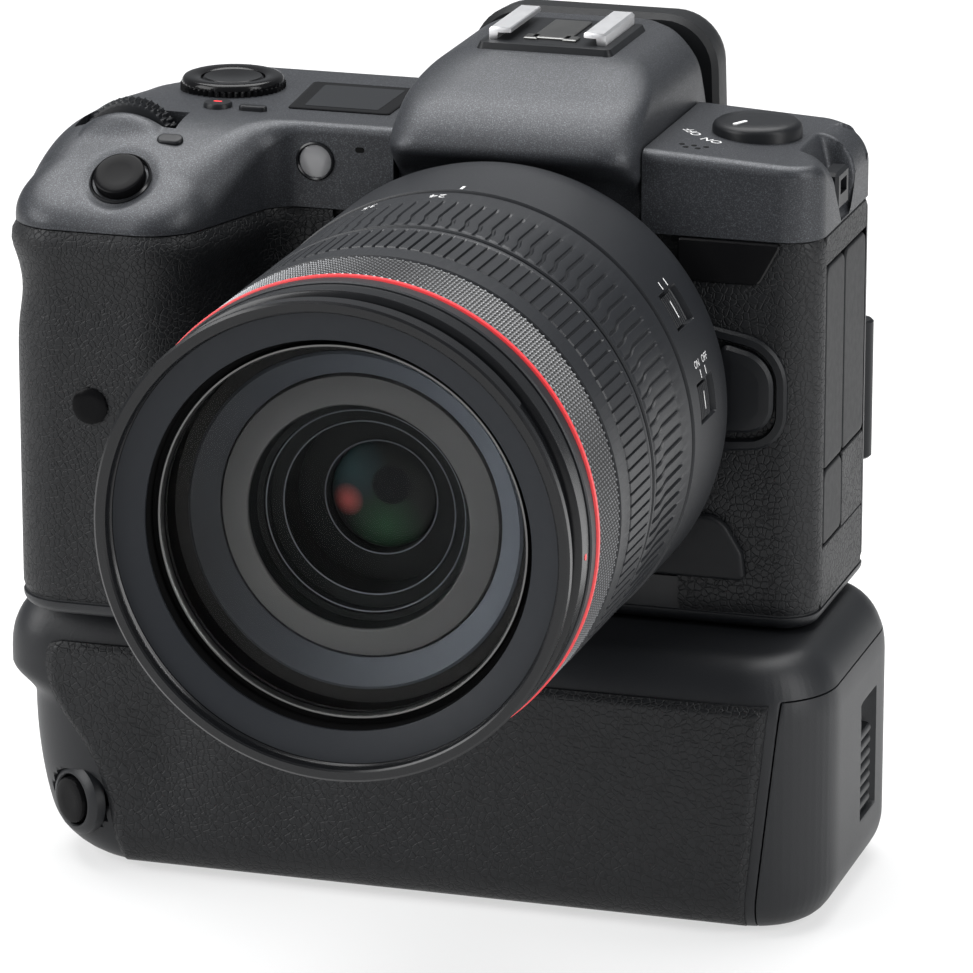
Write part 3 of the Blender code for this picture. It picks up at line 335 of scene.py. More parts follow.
foot_levels = FOOT_HEIGHT * (1 - np.cos(np.linspace(0, math.pi / 2, 10)))
brow_levels = GRIP_TOP - BROW_HEIGHT * (1 - np.sin(np.linspace(0, math.pi / 2, 12)))
edge_levels = [BAND_LOW - 0.15, BAND_LOW + 0.15, 12.4, 12.9, 34.4, 34.9]
side_levels = [*np.linspace(5, 20, 26), *np.linspace(20, 39.6, 21)]
levels = np.unique(np.round(np.concatenate([foot_levels, side_levels, brow_levels, edge_levels]), 3))
seam_shares = np.concatenate([np.linspace(0.02, 0.085, 70), np.linspace(0.845, 0.91, 70)])
lock_y, lock_z = (-8.5, 0.5), (12.65, 34.65)
case_rows, door_rows = [], []
release_out = np.array((-0.34894, -0.93715, 0.0))
release_at = np.array((-73.5, -25.7, 12.5)) + 15.0 * release_out
release_face = np.array((-0.5736, -0.8192, 0.0))
pocket_edge, pocket_depth = (5.1, 5.8), 7.0
seam_gap, lock_depth = 0.15, 4.3


def finger_dent(x, z):
    """Hollows for two fingers in the front of the grip, beside the lens, each a bell over x and z."""
    outer = 1.9 * np.exp(-((x + 60) / 7) ** 2 - ((z - 26) / 11) ** 2)
    inner = 1.2 * np.exp(-((x + 36) / 8) ** 2 - ((z - 20) / 10) ** 2)
    return outer + inner


for z in levels:
    plain = level(resample(grip_row(z), 280, seam_shares), z)
    row = plain.copy()
    row[:, 1] += finger_dent(row[:, 0], row[:, 2]) * (row[:, 1] < -25)
    away = row - release_at
    deep = away @ release_face
    pocket = 1 - ease(np.linalg.norm(away - deep[:, None] * release_face, axis=1), *pocket_edge)
    row -= pocket_depth * (pocket * (deep > -6))[:, None] * release_face
    seam = DOOR_SEAM + 0.1 * (z - 5.0) if z < BAND_LOW else GRIP_END
    case_rows.append(np.column_stack([np.minimum(row[:, 0], seam - seam_gap), row[:, 1:]]))
    if z > BAND_LOW:
        continue
    recess = within(plain[:, 1], *lock_y, 0.5) * within(z, *lock_z, 0.3)
    sunk = plain[:, 0] - lock_depth * recess * (plain[:, 0] > 55)
    kept = plain[plain[:, 0] > seam + seam_gap, 1]
    door_y = np.clip(plain[:, 1], kept.min(), kept.max())
    door_rows.append(level(np.column_stack([np.maximum(sunk, seam + seam_gap), door_y]), z))
case = skin("grip_shell", capped(case_rows), grip_plastic, "camera", ["grip_case"])
# The chamber is cut out of the moulding, so that the tray shows in its mouth when the door is open.
chamber_low, chamber_high = (30.0, -27.55, 8.0), (60.0, 11.55, 29.4)
chamber = bmesh.new()
bmesh.ops.create_cube(chamber, size=1.0)
bmesh.ops.scale(chamber, vec=(np.subtract(chamber_high, chamber_low) * MM).tolist(), verts=chamber.verts)
bmesh.ops.translate(chamber, vec=(np.add(chamber_high, chamber_low) * MM / 2).tolist(), verts=chamber.verts)
chamber_mesh = bpy.data.meshes.new("chamber")
chamber.to_mesh(chamber_mesh)
chamber.free()
chamber_tool = bpy.data.objects.new("chamber", chamber_mesh)
bpy.context.scene.collection.objects.link(chamber_tool)
carve = case.modifiers.new("chamber", "BOOLEAN")
carve.operation, carve.solver, carve.object = "DIFFERENCE", "EXACT", chamber_tool
bpy.context.view_layer.update()
carved = bpy.data.meshes.new_from_object(case.evaluated_get(bpy.context.evaluated_depsgraph_get()))
case.modifiers.remove(carve)
case.data = carved
carved.shade_smooth()
carved.set_sharp_from_angle(angle=math.radians(CREASE))
bpy.data.objects.remove(chamber_tool)
skin("grip_door", capped(door_rows), grip_plastic, "battery_flap", ["battery_door"])

# Grip leather: a moulded elastomer panel with a pebbled grain, bonded over the front of the battery grip.
# Its left edge runs down in a slant to leave the shutter release corner bare.


def pebbled(scale, low, high, depth):
    """A recipe for grained elastomer: warped cells as pebbles, with a finer grain over them, and painted
    shade darkening the creases between the pebbles.
    """
    def recipe(at):
        wobble = at.node("TexNoise", {}, {"Vector": at, "Scale": scale * 0.8, "Detail": 2.0}, out=1)
        shift = at.node("VectorMath", {"operation": "SCALE"}, {0: wobble, "Scale": 0.55 / scale})
        warped = at.node("VectorMath", {"operation": "ADD"}, {0: at, 1: shift})
        pebble_and_crease_shade = warped.cells(scale).between(0.0, 0.14, "SMOOTHSTEP")
        fine = at.noise(scale * 5, 3)
        patch = at.noise(60, 2)
        height = pebble_and_crease_shade * 0.85 + fine * 0.25 + at.noise(20, 1) * 7.0
        # Painted shade: the colour runs from low in the creases between the pebbles to high on their tops.
        return {"Base Color": pebble_and_crease_shade.mix(low, high), "Roughness": patch * 0.1 + (0.52 - pebble_and_crease_shade * 0.1),
                "Specular IOR Level": 0.3, "Normal": height.bump(0.6, depth)}
    return recipe


def plate(name, corners, rows, material, body, slot, replaces=(), at=(0, 0, 0), along=(0, 0, 1), side=None):
    """A flat piece of rounded outline, from rows of (inset, height) that run from its back edge to its crown,
    with both ends closed."""
    sections = [level(outline(corners, inset), height) for inset, height in rows]
    middle = sections[-1].mean(0)
    room = np.ptp(sections[-1][:, :2], axis=0).min() / 2
    held_edge = 0.3
    sections.append(middle + (sections[-1] - middle) * (1 - min(held_edge / room, 0.5)))
    return skin(name, place(capped(sections), at, along, side), material, body, replaces)


def cushioned(thick, edge, low=0.0):
    """Rows of a plate with a rounded front edge."""
    turn = np.linspace(0, math.pi / 2, 5)
    rounding = np.column_stack([edge * (1 - np.cos(turn)), thick - edge * (1 - np.sin(turn))])
    return [(0, low), *map(tuple, rounding)]


leather_broad = finish("leather_broad", pebbled(
    860, (0.0044, 0.0048, 0.0056), (0.0066, 0.0072, 0.0084), 0.00015))
leather_soft = finish("leather_soft", pebbled(
    820, (0.0044, 0.0048, 0.0056), (0.0070, 0.0076, 0.0088), 0.00019))
panel_z = np.concatenate([[0.9, 1.1, 1.5], np.linspace(2.2, 41.9, 60), [42.5, 42.9, 43.1]])
panel_left = np.interp(panel_z, [0.9, 8, 14, 20, 25, 30, 34, 38, 41.4, 42.6, 43.1],
                       [-69.5, -70.6, -71.6, -73.6, -76.6, -80.3, -82.4, -83.2, -83, -82, -80])
panel_right = 47.2 + 0.1 * panel_z
panel_foot = quarter(np.clip((FOOT_HEIGHT - panel_z) / FOOT_HEIGHT, 0, 1))
panel_share = np.concatenate([[0, 0.002, 0.006], np.linspace(0.012, 0.988, 130), [0.994, 0.998, 1]])
panel_x = panel_left[:, None] + (panel_right - panel_left)[:, None] * panel_share
panel_edge = np.minimum(np.minimum(panel_share, 1 - panel_share)[None, :] * 125,
                        np.minimum(panel_z - 0.9, 43.1 - panel_z)[:, None])
panel_lift = 0.4 + 0.9 * ease(panel_edge, 0, 1.2)
case_face = GRIP_FRONT + FOOT_DRAW * panel_foot[:, None] + finger_dent(panel_x, panel_z[:, None])
panel_front = np.stack(np.broadcast_arrays(panel_x, case_face - panel_lift, panel_z[:, None]), -1)
panel_back = np.stack(np.broadcast_arrays(panel_x, case_face + 1.5, panel_z[:, None]), -1)[:, ::-1]
skin("grip_front_leather", capped(list(np.concatenate([panel_front, panel_back], 1))), leather_soft, "camera",
     ["grip_panel"])

# Battery door lock: a ribbed slide in the slot of the end door, pushed up to free the door.
# Hard satin plastic, a touch greyer than the door round it.


def mottled(name, low, high, patch, rough, shine=0.5, metal=0.0, coat=0.0, grain=None):
    """A finish that drifts between two colours in patches. Its roughness is a number, or a noise of (scale,
    detail) times a spread plus a base; its grain is a bump of (scale, strength, reach)."""
    def recipe(at):
        inputs = {"Base Color": at.noise(patch, 2).mix(low, high), "Roughness": rough,
                  "Specular IOR Level": shine, "Metallic": metal, "Coat Weight": coat}
        if isinstance(rough, tuple):
            scale, detail, spread, base = rough
            inputs["Roughness"] = at.noise(scale, detail) * spread + base
        if grain:
            scale, strength, reach = grain
            inputs["Normal"] = at.noise(scale, 2).bump(strength, reach)
        return inputs
    return finish(name, recipe)


satin_black = mottled("satin_black", (0.0066, 0.0072, 0.0084), (0.0092, 0.0100, 0.0116), 60,
                      (300, 3, 0.12, 0.34), shine=0.2, grain=(3000, 0.15, 0.00008))
lock_v = np.linspace(12.95, 28.35, 78)
lock_ribs = 59.6 + 0.9 * np.abs(np.sin(lock_v * math.pi / 2.2)) ** 0.5
lock_corners = ((57.0, -8.2), (57.0, 0.2), (59.4, 0.2), (59.4, -0.4), (59.4, -7.6), (59.4, -8.2))
lock_loop = np.stack([np.column_stack([np.full_like(lock_v, x), np.full_like(lock_v, y), lock_v])
                      for x, y in lock_corners], 1)
lock_loop[:, 3:5, 0] = lock_ribs[:, None]
skin("door_lock_slide", capped(list(lock_loop)), satin_black, "lock_key", ["door_lock"])

# Vertical release and its dial: a domed gloss button in a shallow ring on the grip's corner, and a toothed
# wheel that shows its edge through the left end. Both are moulded plastic on their own springs.


def turned(name, profile, material, body, slot, replaces=(), at=(0, 0, 0), along=(0, 0, 1), sides=96,
           ripple=None, closed=False):
    """Carry a (radius, height) profile round an axis; ripple(angle, radius, height) adds to the radius."""
    profile = np.array(profile, float)
    angle = np.linspace(0, 2 * np.pi, sides, endpoint=False)
    radius = np.repeat(profile[:, :1], sides, 1)
    height = np.repeat(profile[:, 1:], sides, 1)
    if ripple:
        radius = radius + ripple(angle[None, :], radius, height)
    grid = np.stack([radius * np.cos(angle), radius * np.sin(angle), height], -1)
    if not closed:
        grid = capped(list(grid))
    return skin(name, place(grid, at, along), material, body, replaces, (closed, True))


gloss_black = mottled("gloss_black", (0.003, 0.003, 0.0033), (0.005, 0.005, 0.0055), 80, (500, 3, 0.06, 0.16),
                      shine=0.2)
cap_black = mottled("cap_black", (0.003, 0.003, 0.0033), (0.005, 0.005, 0.0055), 80, (500, 3, 0.06, 0.18),
                    shine=0.05)
turned("vertical_release", [(4.3, -2.2), (4.3, 0.6), (4.1, 0.95), (3.5, 1.1), (2.0, 1.05), (1.0, 1.05)],
       cap_black, "vertical_key", "gloss", ["vertical_shutter_button"], release_at, release_face)
turned("vertical_release_collar", [(4.75, -2.5), (4.75, 0.15), (5.0, 0.4), (5.6, 0.3), (6.6, -0.7),
                                   (6.6, -2.5)], grip_plastic, "camera", "plastic", (), release_at,
       release_face, closed=True)


def teeth(count, depth, low, high):
    """A ripple of pointed teeth on the part of a wheel between two heights."""
    def ripple(angle, radius, height):
        saw = np.abs((angle * count / (2 * np.pi)) % 1 - 0.5) * 2
        return -depth * (1 - saw) * (height > low) * (height < high) * (radius > 2)
    return ripple


turned("vertical_wheel_rim", [(3.0, -3.0), (7.2, -3.0), (7.9, -2.4), (8.0, -2.2), (8.0, 2.2), (7.9, 2.4),
                              (7.2, 3.0), (3.0, 3.0)], satin_black, "vertical_wheel", "plastic",
       ["vertical_dial"], (-81.0, -12.0, 20.0), (0, 1, 0), 240, teeth(40, 0.8, -2.5, 2.5))

# Clamp wheel and tripod bush: a knurled wheel between grip and body screws the two together, and a turned
# steel bush in the base takes a tripod screw.
turned("clamp_thumbwheel", [(3.0, 18.0), (3.0, 7.0), (18.4, 7.0), (19.0, 6.5), (19.0, 0.5), (18.4, 0.0),
                            (2.0, 0.0)], satin_black, "clamp", "plastic", ["clamp_wheel"], (0, 4.5, 38.3),
       (0, 0, 1), 360, teeth(60, 0.7, 0.2, 6.8))
bright_steel = mottled("bright_steel", (0.74, 0.74, 0.75), (0.84, 0.84, 0.85), 140, (900, 3, 0.1, 0.34),
                       metal=1.0, grain=(2500, 0.08, 0.00006))
turned("tripod_socket", [(7.0, 5.5), (7.0, 0.4), (6.6, 0.0), (3.6, 0.0), (3.2, 0.4), (3.2, 5.5)],
       bright_steel, "camera", "steel", ["tripod_bush"], (0, -16.0, 0), closed=True)

# Body base: the floor pan of the camera body, rounded round its lower edge, where the grip is clamped on.
# It carries the same matte spark texture as the battery grip.
BASE_CORNERS = [(54.5, 18, 3), (-37.5, 18, 1.5), (-47.5, 20.5, 3), (-86.5, 20.5, 12), (-86.5, -50.5, 10),
                (-54.0, -50.5, 11), (-44.5, -22, 7), (54.5, -22, 7)]
turn = np.linspace(0, math.pi / 2, 8)
base_rows = [level(outline(BASE_CORNERS, 3 * (1 - math.sin(a)), 10), 51.0 + 2.4 * (1 - math.cos(a)))
             for a in turn]
base_rows += [level(outline(BASE_CORNERS, inset, 10), z)
              for inset, z in ((0.0, 53.6), (0.45, 53.7), (0.45, 59.6), (1.0, 59.85))]
skin("body_base", np.stack([*base_rows, level(outline(BASE_CORNERS, 5.0, 10), 59.85), base_rows[0]]),
     grip_plastic, "camera", ["bottom_cover"])

# Hand grip leather: the grained elastomer round the front of the hand grip and into the valley by the lens.
# It swells to a lip under the painted cover and is hollowed below it for the middle finger.
SEAM_Z = 122.3
leather_fine = finish("leather_fine", pebbled(
    950, (0.0040, 0.0044, 0.0052), (0.0066, 0.0072, 0.0084), 0.00018))
WALL_LOW, WALL_HIGH = 53.8, 122.05


def wall(name, corners, kept, swell, material, body, replaces, thick=1.0, count=240):
    """A sheet of even thickness along the first corners of an outline; swell(x, y, z) pushes it out."""
    steps, rows, soft = 12, 44, 0.5
    outer = outline(corners, 0, steps)[:kept * (steps + 1)]
    inner = outline(corners, thick, steps)[:kept * (steps + 1)]
    run = np.concatenate([[0], np.cumsum(np.linalg.norm(np.diff(outer, axis=0), axis=1))])
    share = np.linspace(0, run[-1], count)
    outer, inner = [np.column_stack([np.interp(share, run, line[:, k]) for k in (0, 1)])
                    for line in (outer, inner)]
    normal = (outer - inner) / np.linalg.norm(outer - inner, axis=1, keepdims=True)
    height = np.linspace(WALL_LOW, WALL_HIGH, rows)
    push = swell(outer[:, None, 0], outer[:, None, 1], height[None, :])
    edge = soft * (np.exp(-(height - WALL_LOW) / soft) + np.exp(-(WALL_HIGH - height) / soft))
    face = outer[:, None, :] + normal[:, None, :] * (push - edge)[:, :, None]
    front = np.concatenate([face, np.broadcast_to(height[None, :, None], face.shape[:2] + (1,))], -1)
    rear = np.stack([np.column_stack([inner, np.full(count, z)]) for z in (WALL_HIGH, WALL_LOW)], 1)
    return skin(name, capped(list(np.concatenate([front, rear], 1))), material, body, replaces)


def finger_hollow(x, y, z):
    """Out to a lip at the top edge, then in where the finger lies, fading out at both ends of the grip."""
    reach = ease(-y, 14, 34) * np.ones_like(z)
    lip = 0.9 * np.exp(-((z - 119.0) / 3.2) ** 2)
    hollow = 0.95 * np.exp(-((z - 110.0) / 5.5) ** 2)
    return reach * (lip - hollow)


wall("hand_leather", [(-86.5, -15.0, 0), (-86.5, -50.5, 10), (-54.0, -50.5, 11), (-44.5, -22, 7),
                      (-34.0, -22, 0), (-34.0, 10, 0), (-60, 10, 0)], 5, finger_hollow, leather_fine,
     "camera", ["grip_leather"])
turned("sensor_window", [(3.3, -0.8), (3.3, 0.25), (3.05, 0.45), (1.5, 0.5)], cap_black, "camera", "gloss",
       ["front_sensor_window"], (-70.0, -50.5, 90.7), (0, -1, 0))

# Side leather: the same elastomer with broader pebbles, from the lens mount round the right corner, with a
# bare dark plate let in under the shoulder.
wall("mount_side_leather", [(30.0, -22, 0), (54.5, -22, 7), (54.5, -14.8, 0), (40, 10, 0), (30, 10, 0)], 3,
     lambda x, y, z: 0 * x * z, leather_broad, "camera", ["side_leather"], count=120)
FRONT_Y = -22.0
ON_FRONT = ((0, FRONT_Y, 0), (0, -1, 0), (1, 0, 0))
plate("shoulder_plate", [(29.5, 122.0, 0.6), (29.5, 114.3, 1.5), (44.2, 114.3, 2.2), (48.3, 122.0, 0.6)],
      [(0, -0.9), (0, 0.35), (0.3, 0.6)], gloss_black, "camera", "gloss", (), *ON_FRONT)


def four_corners(left, low, right, high, radius):
    """The corners of an upright oblong with one rounding, counter-clockwise from the lower left."""
    return [(left, low, radius), (right, low, radius), (right, high, radius), (left, high, radius)]


for band_name, y0, y1, z0, z1 in (("upper_band", -14.9, 14.4, 116.7, 122.0),
                                  ("lower_band", -14.9, 14.4, 53.9, 65.0),
                                  ("rear_band", -0.8, 14.4, 65.0, 79.0)):
    plate("side_leather_" + band_name, four_corners(y0, z0, y1, z1, 0.4), [(0, 53.0), (0, 54.3), (0.2, 54.5)],
          leather_broad, "camera", "leather", (), (0, 0, 0), (1, 0, 0), (0, 1, 0))

# Lens release: a satin plastic button in a raised frame beside the mount. It sits on a spring and is pushed
# in to turn the lens off its bayonet.
frame_corners = [(33.5, 107.0, 2), (33.5, 83.5, 2), (49.6, 85.0, 7), (49.6, 104.0, 9)]
plate("release_frame", frame_corners, [(0, -0.5), (0, 0.5), (0.5, 1.0), (1.7, 1.1), (2.0, 0.6), (2.0, -0.4)],
      satin_black, "camera", "plastic", (), *ON_FRONT)
plate("release_key", [(37.6, 103.8, 1.5), (37.6, 87.4, 1.5), (47.3, 88.2, 5), (47.3, 101.4, 6.5)],
      [(0, -3.5), (0, 1.2), (0.6, 1.9), (2.2, 2.1)], satin_black, "release", "plastic",
      ["lens_release_button"], *ON_FRONT)

# Rubber flaps: the remote socket's round-topped cover at the front and the port covers on the right side.
# Soft moulded rubber, each with a rounded edge and held by its own web.
soft_rubber = mottled("soft_rubber", (0.0046, 0.0051, 0.0060), (0.0064, 0.0071, 0.0083), 70,
                      (700, 3, 0.12, 0.46), shine=0.22, grain=(3800, 0.22, 0.00008))
plate("remote_flap_cover", [(25.0, 60.4, 1), (42.6, 60.4, 1.2), (42.0, 65.5, 3), (38.0, 72.0, 5),
                            (28.0, 72.0, 5), (25.0, 67, 2)], cushioned(1.5, 0.7), soft_rubber, "remote_flap",
      "rubber", ["remote_socket_cover"], (0, -22.3, 0), (0, -1, 0), (1, 0, 0))
for flap_name, flap_node, flap_body, y0, y1, z0, z1 in (
        ("front_port_flap", "port_cover_front", "port_flap_front", -14.2, -1.15, 79.3, 116.3),
        ("sync_port_flap", "sync_cover", "sync_flap", -14.2, -1.15, 65.3, 79.0),
        ("rear_port_flap", "port_cover_rear", "port_flap_rear", -0.85, 14.3, 79.3, 116.3)):
    flap = [(y0, z0, 1.6), (y1, z0, 1.6), (y1, z1, 2.2), (y0, z1, 2.2)]
    plate(flap_name, flap, cushioned(1.1, 0.5), soft_rubber, flap_body, "rubber", [flap_node], (53.4, 0, 0),
          (1, 0, 0), (0, 1, 0))
plate("card_door_panel", [(-7.7, 65.3, 2), (14.4, 65.3, 2), (14.4, 116.3, 3), (-7.7, 116.3, 3)],
      cushioned(1.1, 0.5), grip_plastic, "card_flap", "plastic", ["card_door"], (-85.4, 0, 0), (-1, 0, 0),
      (0, -1, 0))

# Sockets: the jacks, plugs and card slots behind the flaps, dark mouths moulded into the wall of the body,
# drawn as near-black plates whose black is painted shade. Each lies flush with the wall, so that its flap
# shuts over it.
# Near-black, darker than any finish here: painted shade for the dark of holes and mouths, and of the shaded
# wall in the lens cell.
painted_shade_black = mottled("painted_shade_black", (0.0018, 0.0018, 0.0019), (0.003, 0.003, 0.0032), 60, (200, 2, 0.1, 0.6),
                     shine=0.1)
for mouth_name, across, height, wide, tall, corner in (
        ("upper_jack", -7.7, 109.0, 5.0, 5.0, 2.4), ("lower_jack", -7.7, 95.0, 5.0, 5.0, 2.4),
        ("sync_plug", -7.7, 72.2, 5.6, 5.6, 2.7), ("upper_plug", 6.7, 107.0, 4.0, 9.5, 1.9),
        ("lower_plug", 6.7, 90.0, 5.0, 12.0, 0.8), ("front_card_slot", 9.5, 90.8, 3.4, 32.0, 0.5),
        ("rear_card_slot", 1.5, 90.8, 3.4, 32.0, 0.5)):
    mouth = four_corners(across - wide / 2, height - tall / 2, across + wide / 2, height + tall / 2, corner)
    card = "card" in mouth_name
    plate(mouth_name, mouth, [(0, 0), (0, 0.3)], painted_shade_black, "camera", "plastic", (),
          (-85.0 if card else 53.0, 0, 0), (-1 if card else 1, 0, 0), (0, -1 if card else 1, 0))
# The remote socket's mouth is a dark disc of painted shade.
turned("remote_plug", [(2.9, -0.3), (2.9, 0.12), (1.0, 0.12)], painted_shade_black, "camera", "plastic", (),
       (33.5, FRONT_Y, 66.0), (0, -1, 0), 40)

# Rear cover and screen: the back wall with its thumb rest, and the screen on its side hinge, a thin moulded
# frame with a glass face that folds against the back.
wall("back_wall", [(54.5, 14.5, 0), (54.5, 18, 3), (-37.5, 18, 1.5), (-47.5, 20.5, 3), (-86.5, 20.5, 12),
                   (-86.5, 7.9, 0), (-60, 0, 0), (30, 0, 0)], 6, lambda x, y, z: 0 * x * z, grip_plastic,
     "camera", ["rear_cover"], 2.0)
thumb_corners = [(84.0, 104.0, 6), (84.0, 120.6, 3), (50.5, 120.6, 3), (50.5, 112.0, 4), (62.0, 101.0, 8)]
plate("thumb_leather", thumb_corners, [(0, -0.6), (0, 0.5), (0.4, 0.9)], leather_fine, "camera", "leather",
      (), (0, 20.5, 0), (0, 1, 0), (-1, 0, 0))
SCREEN_AT = (0, 18.3, 84.8)
screen_corners = four_corners(-49, -27, 35, 27, 3)
plate("screen_frame", screen_corners, [(0.6, 0), (0, 0.6), *cushioned(6.5, 0.8)[1:], (3.0, 6.5), (3.3, 6.2),
                                       (6, 6.2)], satin_black, "screen", "plastic", ["rear_screen"],
      SCREEN_AT, (0, 1, 0), (-1, 0, 0))
screen_glass = mottled("screen_glass", (0.004, 0.0045, 0.005), (0.007, 0.0075, 0.0085), 30, 0.06, coat=0.5)
plate("screen_pane", four_corners(-45.4, -23.6, 31.4, 23.6, 1),
      [(0, 6.0), (0, 6.35), (0.15, 6.45)], screen_glass, "screen", "glass", (), SCREEN_AT, (0, 1, 0),
      (-1, 0, 0))
turned("screen_hinge", [(2.5, -13), (2.9, -12.6), (2.9, 12.6), (2.5, 13)], satin_black, "screen", "plastic",
       (), (51.6, 21.2, 84.8))
turned("rear_wheel_ring", [(5.3, 0), (14, 0), (14, 1.9), (13.4, 2.5), (8, 2.2), (5.3, 2.0)], satin_black,
       "rear_wheel", "plastic", ["quick_dial"], (-62, 20.8, 80.3), (0, 1, 0), 288, teeth(48, 0.5, 0.1, 2.2),
       True)

# Painted top covers: magnesium covers with a satin charcoal paint full of fine metallic specks.
# The right one carries the release pad and the deck, the left one the shoulder with the power switch.


def speck_paint(at):
    """Charcoal paint: the brightest part of a fine noise gives pale smooth specks over a drifting colour."""
    speck = at.noise(5200, 2, 0.6)
    broad = at.noise(38, 2)
    bright = speck.between(0.5, 0.72)
    deep = broad.mix((0.0172, 0.0186, 0.0217), (0.0212, 0.0229, 0.0267))
    return {"Base Color": bright.mix(deep, (0.075, 0.080, 0.09)), "Metallic": 0.35,
            "Roughness": 0.46 - bright * 0.14, "Normal": speck.bump(0.3, 0.00010)}


top_paint = finish("top_paint", speck_paint)
DECK_Z = 137.8


def blanket(name, x, low_y, high_y, shares, roof, material, replaces):
    """A cover laid over its outline: for each x a run of y from edge to edge, with a roof above and a flat
    underside at the seam."""
    y = low_y[:, None] + (high_y - low_y)[:, None] * shares[None, :]
    x = np.broadcast_to(x[:, None], y.shape)
    top = np.stack([x, y, np.maximum(roof(x, y), SEAM_Z + 0.2)], -1)
    under = np.stack([x, y, np.full(y.shape, SEAM_Z)], -1)[:, ::-1]
    loops = np.concatenate([top, under], 1)
    ends = loops[[0, -1]] * (1, 1, 0) + (0, 0, SEAM_Z)
    return skin(name, np.concatenate([ends[:1], loops, ends[1:]]), material, "camera", replaces,
                sharp=50.0)


def edge_distance(x, y, line, rounds):
    """The distance of each point from a line of edge pieces, and the rounding at the nearest place on it."""
    start, step = line[:-1], np.diff(line, axis=0)
    from_x, from_y = x[..., None] - start[:, 0], y[..., None] - start[:, 1]
    share = np.clip((from_x * step[:, 0] + from_y * step[:, 1]) / (step ** 2).sum(1), 0, 1)
    gap = np.hypot(from_x - share * step[:, 0], from_y - share * step[:, 1])
    nearest = gap.argmin(-1)
    along = np.take_along_axis(share, nearest[..., None], -1)[..., 0]
    return gap.min(-1), rounds[nearest] * (1 - along) + rounds[nearest + 1] * along


def rounded_edge(roof, distance, radius):
    """Drop a roof towards its edge along a quarter circle."""
    radius = np.minimum(radius, 0.9 * (roof - SEAM_Z))
    share = 1 - np.clip(distance / radius, 0, 1)
    return roof - radius * quarter(share)


TOP_CORNERS = [(-10.0, 18, 0), (-86.5, 18, 12), (-86.5, -50.5, 10), (-54.0, -50.5, 11), (-44.5, -22, 7),
               (-10.0, -22, 0)]
top_line = resample(outline(TOP_CORNERS, 0, 24), 320)
top_line = top_line[top_line[:, 0] < -10.5]
rounds = 9.0 - 7.2 * ease(top_line[:, 0], -55.0, -39.0) * (top_line[:, 1] < 0)
rounds += 3.5 * ease(top_line[:, 1], -35, -15) * (top_line[:, 0] < -70)
rounds[top_line[:, 1] > 0] -= 8.0 * ease(top_line[top_line[:, 1] > 0, 0], -78, -62)
top_x = -86.5 + 63.7 * np.linspace(0, 1, 170) ** 1.5
front_line = top_line[top_line[:, 1] < -15]
front_line = front_line[np.argsort(front_line[:, 0])]
rear_line = top_line[top_line[:, 1] > -15]
rear_line = rear_line[np.argsort(rear_line[:, 0])]
top_front = np.interp(top_x, front_line[:, 0], front_line[:, 1])
top_rear = np.interp(top_x, rear_line[:, 0], rear_line[:, 1])
PAD_X, PAD_Y, PAD_Z, PAD_LEAN = -67.0, -41.5, 130.3, math.radians(25)


def pad_height(y):
    """The height of the release pad, which slopes down to the front."""
    return PAD_Z + (y - PAD_Y) * math.tan(PAD_LEAN)


def right_roof(x, y):
    """The deck and the release pad that slopes off it, blended, with a bowl round the button, an arch and a
    slot for the wheel and a notch for the strap lug."""
    pad = pad_height(y)
    deck = DECK_Z - 0.009 * np.maximum(-64 - x, 0) * np.maximum(y + 12, 0)
    roof = -1.2 * np.log(np.exp(-(pad - 130) / 1.2) + np.exp(-(deck - 130) / 1.2)) + 130
    distance, radius = edge_distance(x, y, top_line, rounds)
    roof = rounded_edge(roof, distance, radius)
    bowl = 1 - ease(np.hypot(x - PAD_X, (y - PAD_Y) / 0.92), 4.6, 7.6)
    lean = 0.26 * (y - PAD_Y) * np.exp(-((x - PAD_X) ** 2 + (y - PAD_Y) ** 2) / 90)
    arch = 2.6 * np.exp(-((y + 29.4) / 2.6) ** 2) * np.clip(1 - ((x + 71.0) / 7.4) ** 2, 0, 1)
    roof = roof + lean + arch
    slot = within(x, -80.2, -61.8, 0.2) * within(y, -27.7, -21.1, 0.2)
    lug = ease(-x, 82.2, 82.8) * within(y, -7.9, 3.9, 0.3)
    return roof - 0.9 * bowl - 20.0 * slot - 13.0 * lug


shares = (1 - np.cos(np.linspace(0, np.pi, 190))) / 2
blanket("right_cover", top_x, top_front, top_rear, shares, right_roof, top_paint, ["top_cover"])

LEFT_CORNERS = [(54.5, 18, 3), (10.0, 18, 0), (10.0, -22, 0), (54.5, -22, 7)]
left_line = resample(outline(LEFT_CORNERS, 0, 24), 260)
left_line = left_line[left_line[:, 0] > 10.5]
left_rounds = 2.0 + 5.0 * ease(left_line[:, 1], -19, -8) * ease(left_line[:, 0], 46, 54)
left_x = 22.8 + 31.7 * (1 - np.linspace(1, 0, 110) ** 1.6)
fore = left_line[left_line[:, 1] < -2]
fore = fore[np.argsort(fore[:, 0])]
aft = left_line[left_line[:, 1] > -2]
aft = aft[np.argsort(aft[:, 0])]


def shoulder_height(x):
    """The height of the left shoulder, which falls gently to the right."""
    return 135.4 + 0.055 * (54.5 - x)


def left_roof(x, y):
    """The shoulder: falling gently to the right, with a crisp front edge and a scoop round the strap lug."""
    roof = shoulder_height(x)
    distance, radius = edge_distance(x, y, left_line, left_rounds)
    roof = rounded_edge(roof, distance, radius)
    scoop = ease(x, 47.4, 51.2) * within(y, -8.4, 4.4, 1.0)
    return roof - 8.5 * scoop


blanket("left_cover", left_x, np.interp(left_x, fore[:, 0], fore[:, 1]),
        np.interp(left_x, aft[:, 0], aft[:, 1]), (1 - np.cos(np.linspace(0, np.pi, 130))) / 2, left_roof,
        top_paint, ["left_top_cover"])
for lug_node in ("strap_lug_left", "strap_lug_right"):
    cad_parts[lug_node].data.materials.clear()
    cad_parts[lug_node].data.materials.append(satin_black)

# Finder hump: the painted cover over the finder, with a brow that reaches out above the lens and a top that
# carries the accessory shoe. Cast with the right cover's paint and finish.
AXIS_Z = 94.3


